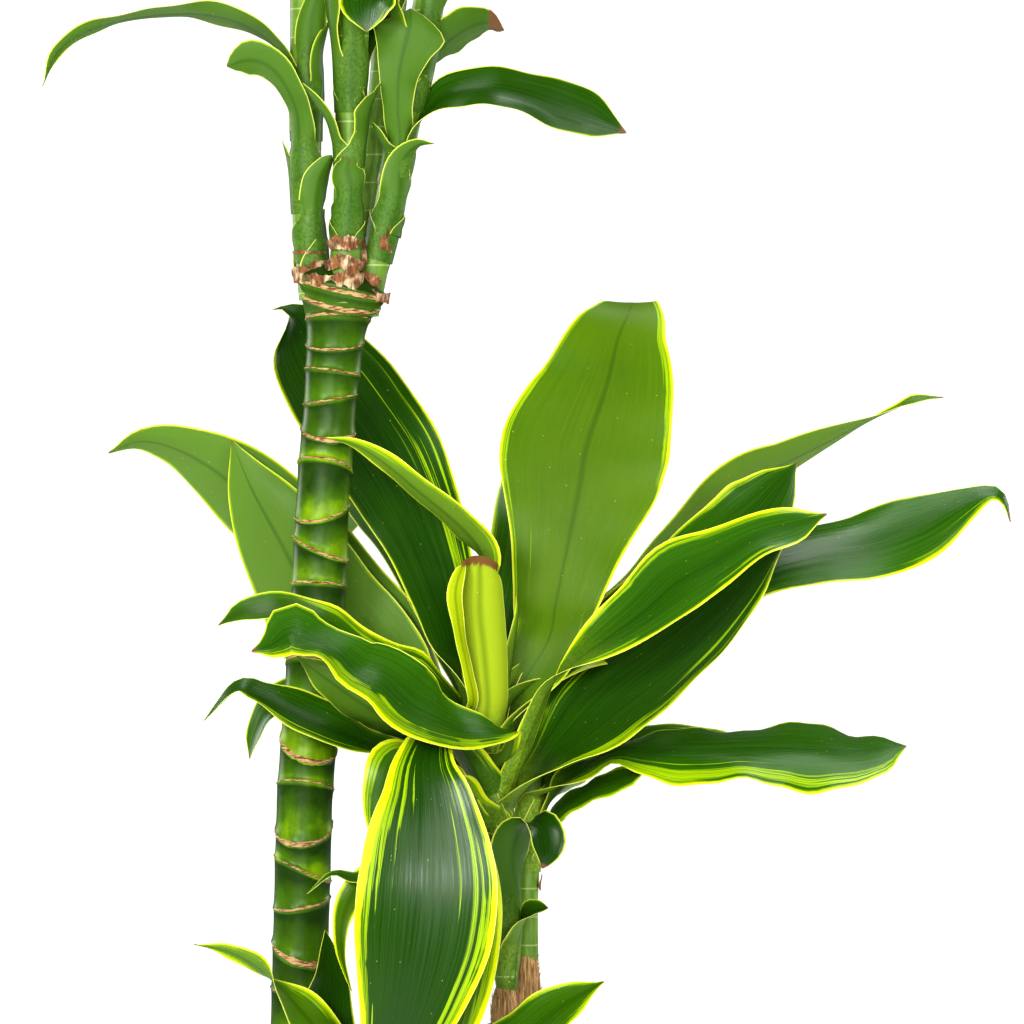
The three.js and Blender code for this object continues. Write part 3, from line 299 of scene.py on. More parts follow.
inner_foot = POT_FOOT_RADIUS - POT_WALL - SOIL_GAP
soil_wall, soil_floor = inner_foot + pot_slope * SOIL_EDGE, inner_foot + pot_slope * POT_FLOOR
angles = round_angles(SOIL_SIDES)
edge, angle = np.meshgrid(np.linspace(0, 1, SOIL_RINGS + 1)[1:], angles, indexing="ij")
x, y = soil_wall * edge * np.cos(angle), soil_wall * edge * np.sin(angle)
top = np.stack([x, y, ground(x, y, edge)], -1).reshape(-1, 3)
zero = np.zeros(1)
soil_bottom = POT_FLOOR + 0.3
soil_points = np.concatenate([[(0, 0, ground(zero, zero, zero)[0])], top,
                              circle(0, 0, soil_bottom, soil_floor, angles), [(0, 0, soil_bottom)]])
top_faces, body_faces = [], []          # their order decides where the loose grains lie
outer = 1 + (SOIL_RINGS - 1) * SOIL_SIDES
below = outer + SOIL_SIDES
for k in range(SOIL_SIDES):
    n = (k + 1) % SOIL_SIDES
    top_faces.append((0, 1 + k, 1 + n))
    top_faces += [(a + k, a + SOIL_SIDES + k, a + SOIL_SIDES + n, a + n) for a in range(1, outer, SOIL_SIDES)]
    body_faces += [(outer + k, below + k, below + n, outer + n), (below + k, len(soil_points) - 1, below + n)]
soil = new_piece("soil_body", soil_points, top_faces + body_faces, peat, "potting_soil")
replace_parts(soil, "soil")


def scatter(name, points, faces, finish, given, small, large, shape):
    """Seeded copies of a small shape on a surface, as one piece. given has the inputs of its node group
    by name, small and large bound a copy's scale, and shape adds the shape and how a copy is turned."""
    tree = bpy.data.node_groups.new(name, "GeometryNodeTree")
    tree.interface.new_socket("Surface", in_out="INPUT", socket_type="NodeSocketGeometry")
    for label, value in given.items():
        kind = "NodeSocketInt" if isinstance(value, int) else "NodeSocketFloat"
        tree.interface.new_socket(label, in_out="INPUT", socket_type=kind)
    tree.interface.new_socket("Copies", in_out="OUTPUT", socket_type="NodeSocketGeometry")
    inputs = add(tree, "NodeGroupInput").node.outputs
    spots = add(tree, "GeometryNodeDistributePointsOnFaces", {
        "Mesh": inputs["Surface"], "Density": inputs["Number per square metre"], "Seed": inputs["Seed"]})
    copied, turn = shape(tree, inputs, spots.node.outputs["Normal"])
    scale = add(tree, "FunctionNodeRandomValue", {"Min": small, "Max": large, "Seed": inputs["Seed"]},
                data_type="FLOAT_VECTOR")
    placed = add(tree, "GeometryNodeInstanceOnPoints", {
        "Points": spots, "Instance": copied, "Rotation": turn, "Scale": scale})
    real = add(tree, "GeometryNodeRealizeInstances", {"Geometry": placed})
    made = add(tree, "GeometryNodeSetMaterial", {"Geometry": real, "Material": finish})
    add(tree, "NodeGroupOutput", {"Copies": made})

    piece = new_object(name, points, faces)
    modifier = piece.modifiers.new(name, "NODES")
    modifier.node_group = tree
    for item in tree.interface.items_tree:
        if item.name in given:
            modifier[item.identifier] = given[item.name]
    apply_modifiers(piece)
    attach(piece, "root")


def lump(tree, inputs, out):
    """A flattened lump, turned any way."""
    ball = add(tree, "GeometryNodeMeshIcoSphere", {"Radius": inputs["Size"], "Subdivisions": 1})
    flat = add(tree, "ShaderNodeCombineXYZ", {"X": 1.0, "Y": 0.7, "Z": inputs["Flatness"]})
    turn = add(tree, "FunctionNodeRandomValue", {
        "Min": (-math.pi,) * 3, "Max": (math.pi,) * 3, "Seed": inputs["Seed"]}, data_type="FLOAT_VECTOR")
    return add(tree, "GeometryNodeTransform", {"Geometry": ball, "Scale": flat}), turn


for name, finish, number, size, flatness, seed in (
        ("peat_crumbs", peat, 52000, 2.2, 0.7, 11),
        ("bark_chips", bark, 3600, 5.5, 0.3, 12),
        ("perlite_grains", perlite, 2200, 1.9, 0.8, 13)):
    scatter(name, soil_points, top_faces, finish, {
        "Number per square metre": float(number), "Size": size * MM, "Flatness": flatness, "Seed": seed},
        (0.35,) * 3, (1.0,) * 3, lump)


# ---- Tall cane ---------------------------------------------------------------------------------
# The living cane of the tall plant: smooth waxy green skin that bulges a little at each ring where a
# leaf once clasped it. The rings are raised corky scars, slanted and torn, and the top is the fork.
TALL_CANE = (
    (-66, 8, CANE_FOOT, 14), (-65, 8, 240, 14), (-62, 8, 330, 14), (-57, 8, 430, 14), (-54, 8, 542, 14),
    (-47, 8, 642, 13.6), (-45, 8, 692, 13.4), (-41, 8, 742, 13.3), (-38.8, 8, 770, 14.2),
    (-37.3, 8, 782, 15.8), (-36, 7.5, 792, 20), (-35.7, 7.5, 797, 22.2), (-35.5, 7.5, 800, 22.4),
)
TALL_SCARS = (                # height of a scar at its left, front and right, and its greatest width
    (256, 252, 258, 1.6), (278, 282, 276, 1.2), (303, 298, 304, 2.4), (325, 329, 323, 1.3),
    (348, 343, 350, 1.8), (372, 376, 369, 1.2), (394, 389, 397, 2.2), (418, 422, 415, 1.3),
    (448, 447, 450, 1.4), (471, 461, 463, 3.6), (488, 488, 493, 1.5), (514, 507, 501, 1.1),
    (527, 520, 529, 2.6), (550, 552, 547, 1.0), (573, 562, 566, 3.0), (592, 589, 590, 1.2),
    (610, 614, 606, 1.4), (629, 626, 630, 2.0), (650, 651, 648, 1.2), (674, 666, 662, 1.6),
    (684, 682, 690, 1.3), (711, 713, 706, 1.1), (728, 722, 726, 2.8), (740, 742, 745, 1.0),
    (758, 757, 754, 1.0), (770, 767, 771, 1.2), (782.5, 785, 782, 1.6), (796, 787, 788, 2.6),
    (803, 796, 793, 2.4),
)
FORK_TILT = (-6, 1)           # how far the fork drops to the right and rises to the back
STEM_FEET = (                 # x, y and rise of the skin round the foot of each shoot
    (-49.5, 4, 8), (-33.5, -6, 8), (-22, 5, 6), (-28, 20, 7),
)
FOOT_SPREAD = 110             # square of the reach of that rise
CANE_SIDES = 96
CANE_ROW = 2.2                # between rings of points on the smooth skin
SCAR_ACROSS = (               # rings of points over a scar: share of its half width, share of its rise
    (-1.5, 0.0), (-1.05, 0.25), (-0.7, 0.8), (-0.35, 1.0), (0.0, 0.95), (0.35, 1.0), (0.7, 0.8),
    (1.05, 0.25), (1.5, 0.0),
)
DOME = (                      # share of the radius and rise of the rings of points over the cane's top
    (1.0, 0.0), (0.96, 0.8), (0.9, 1.3), (0.8, 1.6), (0.65, 1.8), (0.5, 1.9), (0.35, 2.0), (0.2, 2.0),
)
SKIN_DARK = "223F0A"
SKIN_GREEN = "5F8C0E"
SKIN_LIME = "8FAE0E"
CORK_TAN = "CFA87C"
CORK_BROWN = "6E4022"
SKIN_STREAK = 3.8462
SKIN_PATCH = 22.22
CORK_GRAIN = 1.2
SCAR_TEAR = 1.6667
WAX_IOR = 1.45


def at_height(rings, z):
    """The ring [x, y, z, radius] of a cane or stem at a height."""
    table = np.array(rings, float)
    return np.array([np.interp(z, table[:, 2], table[:, k]) for k in range(4)])


def ripples(draw, angles, weak, strong, turns, fade=0):
    """A seeded unevenness round a ring: a sine for each number of turns, weaker for the finer ones."""
    return sum(draw.uniform(weak, strong) / m ** fade * np.sin(m * angles + draw.uniform(0, 6.3))
               for m in turns)


def ringed_cane(rings, scars, seed, stand_out=0.7, bulge=0.35, tilt=(0, 0), feet=()):
    """Points, faces and attributes of a cane with slanted, torn scars; ring is (share of the way up
    from the scar below, how much this is scar, a number for that length of cane)."""
    draw = np.random.default_rng(seed)
    angles = round_angles(CANE_SIDES)
    stops = [(rings[0][2], 0.0, 0.0, 0.0)]              # height, tilt to the right and back, width
    stops += [((left + right) / 2, (right - left) / 2, (left + right) / 2 - front, wide)
              for left, front, right, wide in scars]
    stops.append((rings[-1][2], *tilt, 0.0))
    points, ring = [], []
    for k, (low, high) in enumerate(zip(stops, stops[1:])):
        span = high[0] - low[0]
        level = draw.uniform(0, 1) if span > 16 else 0.15
        start, stop = (0.75 * scar[3] + 0.3 for scar in (low, high))
        start = low[0] + (start if k else 0)
        stop = high[0] - (stop if k < len(stops) - 2 else 0)
        rows = [(low[0], offset, scar) for offset, scar in SCAR_ACROSS] if k else []
        count = max(3, int(span / CANE_ROW))
        rows += [(start + (stop - start) * (j + 0.5) / count, 0.0, 0.0) for j in range(count)]
        crescent = 0.45 + 0.55 * np.clip(np.cos(angles + math.pi / 2 + draw.uniform(-0.5, 0.5)), 0, 1) ** 1.5
        torn = ripples(draw, angles, 0.3, 0.7, (4, 7, 11, 17, 26), 0.3)
        flaky = ripples(draw, angles, 0.4, 0.8, (5, 9, 15, 21))
        wide = low[3] * crescent * (1 + 0.3 * torn) * 0.54
        for z, offset, scar in rows:
            f = np.clip((z - low[0]) / span, 0, 1)
            right, back = low[1] + (high[1] - low[1]) * f, low[2] + (high[2] - low[2]) * f
            x, y, _, radius = at_height(rings, z)
            swell = bulge * (math.exp(-f / 0.1) + 0.9 * math.exp(-(1 - f) / 0.12)
                             - 0.35 * math.sin(math.pi * f))
            r = radius + (swell if rings[0][2] + 8 < z < rings[-1][2] - 14 else 0)
            flakes = np.clip(0.75 + 0.28 * flaky * (1 + offset), 0.1, 1.7)
            r = r + stand_out * scar * flakes * (0.4 + 0.6 * crescent)
            up = offset * wide + 0.18 * torn * (1 if offset else 0)
            slant = right * np.cos(angles) + back * np.sin(angles)
            points.append(circle(x, y, z + slant + up, r, angles))
            ring.append(np.tile([f, scar, level], (CANE_SIDES, 1)))
    x, y, z, radius = rings[-1]
    for shrink, rise in DOME:
        flat = circle(x, y, 0, radius * shrink, angles)
        east, north = flat[:, 0], flat[:, 1]
        lift = sum(high * np.exp(-((east - fx) ** 2 + (north - fy) ** 2) / FOOT_SPREAD)
                   for fx, fy, high in feet)
        slope = (tilt[0] * (east - x) + tilt[1] * (north - y)) / radius
        points.append(circle(x, y, z + rise + slope + lift * (1 - shrink ** 8), radius * shrink, angles))
        ring.append(np.tile([0.9, 0.0, 0.2], (CANE_SIDES, 1)))
    points, faces = stacked(points, [rings[0][:3], (x, y, z + DOME[-1][1])])
    return points, faces, {"ring": np.concatenate([*ring, [(0.5, 0, 0.5)] * 2])}


# Living green skin under wax: darker just under each ring, painted shade below the raised scar, and
# brighter above the scar below, painted light; in lengths that are riper or darker at random, dark in
# the short lengths and the top at the fork, with fine upright lines and a soft gloss. The scars cut it
# into dull, tan torn rings.
waxy_skin, tree, shader, here = new_finish("waxy_cane_skin", IOR=WAX_IOR, Specular_IOR_Level=0.2)
ring = add(tree, "Attribute", attribute_name="ring").node.outputs["Vector"]
up = add(tree, "SeparateXYZ", ring)
scar, level = up.node.outputs["Y"], up.node.outputs["Z"]
drawn_out = add(tree, "Mapping", here, {"Scale": (1, 1, 0.16)})
streaky = add(tree, "TexNoise", drawn_out, 1 / (SKIN_STREAK * MM), 5, 0.6)
patchy = add(tree, "TexNoise", here, 1 / (SKIN_PATCH * MM), 4, 0.6)
# painted shade just under each ring and painted light just above the scar below
painted_ring_shade = add(tree, "MapRange", up, 0.95, 0.2, -0.15, 0.9)
mottle = add(tree, "MapRange", patchy, 0.3, 0.7, -0.45, 0.35)
lifted = add(tree, "Math", painted_ring_shade, mottle, operation="ADD")
ripe = add(tree, "MapRange", level, 0, 1, 0.42, 1.2)
# the painted light and shade, with random mottle and ripeness
painted_light_and_tone = add(tree, "Math", lifted, ripe, operation="MULTIPLY", use_clamp=True)
coloured = SKIN_DARK
lime_share = add(tree, "MapRange", painted_light_and_tone, 0.58, 1.15)
line_share = add(tree, "MapRange", streaky, 0.35, 0.7, 0, 0.35)
for share, colour in ((painted_light_and_tone, SKIN_GREEN), (lime_share, SKIN_LIME), (line_share, SKIN_DARK)):
    coloured = add(tree, "Mix", share, coloured, colour, data_type="RGBA")
along_ring = add(tree, "Mapping", here, {"Scale": (0.3, 0.3, 1.6)})
corky = add(tree, "TexNoise", along_ring, 1 / (CORK_GRAIN * MM), 5, 0.6)
cork_shade = add(tree, "MapRange", corky, 0.4, 0.58)
cork = add(tree, "Mix", cork_shade, CORK_BROWN, CORK_TAN, data_type="RGBA")
torn = add(tree, "TexNoise", here, 1 / (SCAR_TEAR * MM), 4)
broken = add(tree, "Math", torn, scar, operation="ADD")
is_scar = add(tree, "MapRange", broken, 0.98, 1.06)
coloured = add(tree, "Mix", is_scar, coloured, cork, data_type="RGBA")
gloss = add(tree, "MapRange", is_scar, 0, 1, 0.32, 0.85)
skin_relief = add(tree, "Bump", {"Height": streaky, "Strength": 0.2, "Distance": 0.25 * MM})
cork_relief = add(tree, "Bump", {"Height": corky, "Strength": is_scar, "Distance": 0.5 * MM,
                                 "Normal": skin_relief})
fill(shader, {"Base Color": coloured, "Roughness": gloss, "Normal": cork_relief})

points, faces, attributes = ringed_cane(TALL_CANE, TALL_SCARS, 21, tilt=FORK_TILT, feet=STEM_FEET)
tall_cane = new_piece("tall_cane_skin", points, faces, waxy_skin, "green_cane", attributes)
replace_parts(tall_cane, "tall_cane")


# ---- Middle and low canes ----------------------------------------------------------------------
# Two older, leafless lengths of cane, sawn off flat. Their skin has turned to grey-brown bark with
# close rings and fine upright cracks, and new shoots break from the side just under the top.
MIDDLE_CANE = (
    (51, 8, CANE_FOOT, 17), (51, 8, 262, 17), (51, 8, 264, 17.8), (51, 8, 300, 16.8),
    (51, 8, 302, 17.6), (51, 8, 342, 16.6), (51, 8, 344, 17.4), (51, 8, 384, 16.5), (51, 8, 386, 17.3),
    (51, 8, 424, 16.5), (51, 8, 428, 15),
)
LOW_CANE = (
    (-4, -50, CANE_FOOT, 15), (-4, -50, 250, 15), (-4, -50, 252, 15.8), (-5, -51, 288, 14.8),
    (-5, -51, 290, 15.6), (-6, -52, 326, 14.6), (-6, -52, 330, 12),
)
RING_SPACING = 13
CRACK = 2.381
BARK_GREY = "A38C6B"
BARK_SHADE = "5D4630"


def old_scars(low, high, seed):
    """Rings of an old cane, a little uneven in spacing and slant."""
    draw = np.random.default_rng(seed)
    scars = []
    z = low
    while z < high:
        scars.append((*(z + draw.uniform(-2, 2, 3)), draw.uniform(1.0, 2.2)))
        z += RING_SPACING * draw.uniform(0.75, 1.25)
    return scars


# Dry, dull bark: grey-brown with dark upright cracks that make it look fibrous, and browner rings that
# tell its joints apart. It sets the old wood off against the living green cane.
cane_bark, tree, shader, here, woody = grained(
    "cane_bark", BARK_SHADE, BARK_GREY, CRACK, 7, 0.65, (0.38, 0.58), 0.8, 0.5, 0.12, Roughness=0.82)
ring = add(tree, "Attribute", attribute_name="ring").node.outputs["Vector"]
scar = add(tree, "SeparateXYZ", ring).node.outputs["Y"]
dark_ring = add(tree, "Math", scar, 0.6, operation="MULTIPLY")
fill(shader, {"Base Color": add(tree, "Mix", dark_ring, woody, CORK_BROWN, data_type="RGBA")})

for name, rings, seed, node in (("middle_cane_bark", MIDDLE_CANE, 31, "middle_cane"),
                                ("low_cane_bark", LOW_CANE, 32, "low_cane")):
    scars = old_scars(rings[0][2] + 40, rings[-1][2] - 8, seed)
    points, faces, attributes = ringed_cane(rings, scars, seed, bulge=0.2)
    cane = new_piece(name, points, faces, cane_bark, "woody_cane", attributes)
    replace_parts(cane, node)


# ---- Buds on the middle cane -------------------------------------------------------------------
# The two swellings that the middle and side shoots grew from: short and egg-shaped, wrapped in dry
# brown scale leaves whose fibres run upwards and fray at the top.
FRONT_BUD = (
    (46, -1, 416, 4), (46, -4, 424, 5.6), (46.2, -5, 433, 6.2), (46.4, -5, 441, 6), (46.5, -5, 446, 5.2),
    (46.5, -5, 449.5, 4.3),
)
BACK_BUD = (
    (57, 13, 420, 6), (57.3, 13.5, 432, 7), (57.5, 14, 442, 6.9), (57.6, 14, 451, 6.2), (57.6, 14, 458, 5.5),
    (57.6, 14, 463, 5),
)
BUD_SIDES = 64
BUD_ROWS = 25
BUD_RIDGE = 0.32
FIBRES = 200000               # for each square metre of skin, a few hundred on a bud
FIBRE_LENGTH = 5
FIBRE_THICK = 0.4
FIBRE_GRAIN = 1.1111
BUD_BROWN = "6B4A2A"
BUD_STRAW = "C9A06A"

# Dead scale leaves: straw and brown in fine upright fibres, rough and quite dull, so that the buds
# look dry and frayed beside the smooth stems.
bud_fibre = grained("dry_scale_leaf", BUD_BROWN, BUD_STRAW, FIBRE_GRAIN, 6, 0.6, (0.36, 0.62), 0.9, 0.5, 0.08,
                    Roughness=0.8)[0]


def fibre(tree, inputs, out):
    """A thin spike that rises and leans out a little."""
    stray = add(tree, "FunctionNodeRandomValue", {
        "Min": (-0.3, -0.3, 0.75), "Max": (0.3, 0.3, 1.3), "Seed": inputs["Seed"]}, data_type="FLOAT_VECTOR")
    lean = add(tree, "ShaderNodeVectorMath", out, (0.3, 0.3, 0.0), stray, operation="MULTIPLY_ADD")
    turn = add(tree, "FunctionNodeAlignRotationToVector", {"Vector": lean}, axis="Z")
    return add(tree, "GeometryNodeMeshCone", {"Vertices": 4, "Radius Bottom": inputs["Thickness"],
                                              "Depth": inputs["Length"]}), turn


for name, rings, seed in (("front_bud", FRONT_BUD, 41), ("back_bud", BACK_BUD, 42)):
    draw = np.random.default_rng(seed)
    angles = round_angles(BUD_SIDES)
    ridges = ripples(draw, angles, 0.2, 0.5, (3, 7, 12, 19, 27))
    heights = np.linspace(rings[0][2], rings[-1][2], BUD_ROWS)
    hoops = []
    for z in heights:
        x, y, _, radius = at_height(rings, z)
        share = (z - heights[0]) / (heights[-1] - heights[0])
        hoops.append(circle(x, y, z, radius * 1.04 + BUD_RIDGE * ridges * math.sin(math.pi * share), angles))
    points, faces = stacked(hoops, [rings[0][:3], rings[-1][:3]])
    new_piece(name, points, faces, bud_fibre, "woody_cane")
    scatter(name + "_fibres", points, faces, bud_fibre, {
        "Number per square metre": float(FIBRES), "Length": FIBRE_LENGTH * MM,
        "Thickness": FIBRE_THICK / 2 * MM, "Seed": seed}, (0.5, 0.5, 0.3), (1.2, 1.2, 1.1), fibre)


# ---- Middle shoot ------------------------------------------------------------------------------
# A green stem hidden by the leaves that clasp it. Each leaf is one strap: a sheath rolled round the
# stem, a narrow neck, then a blade with a sunk midrib, parallel veins and a rippled yellow edge.
MIDDLE_STEM = (
    (47, -5, 441, 4.2), (47, -5, 449, 4.8), (47, -5, 455, 6.2), (46, -4, 490, 7.5),
    (41, -1, 527, 9.5), (37, 0, 572, 10), (35, 0, 620, 9), (35, 0, 652, 6),
)
# foot and leave: heights where the sheath starts and lets go; turn: the side of the stem in degrees;
# half: greatest half width; widths: half widths at the points of path, which gives the midrib and the
# way the upper face looks. edge is the width of the yellow rim and streak the share of lime stripes on
# each side, light how pale or deep the green is, partly the leaf's own tone and partly painted light and
# shade, pale how limy the sheath is, green_from how far its colour runs up the neck, dry how brown the
# tip is, and over how far its sheath lies outside younger ones.
# base, peak, swell, tip and end shape the width of a leaf without widths; round is how blunt it ends.
# cup and wrap are how rolled the blade and the neck are, and sheath how slowly that roll opens. wave,
# waves and phase are the height, number and start of the ripples of its edge.
LEAF_FORM = dict(base=0.4, peak=0.55, swell=1.3, tip=2, end=0.02, cup=0.35, wrap=1.5, sheath=0.16, round=0.05,
                 wave=2, waves=2, phase=0, streak=(0.15, 0.22), light=0.05, pale=0.6, dry=0.05,
                 green_from=0.12, over=0)
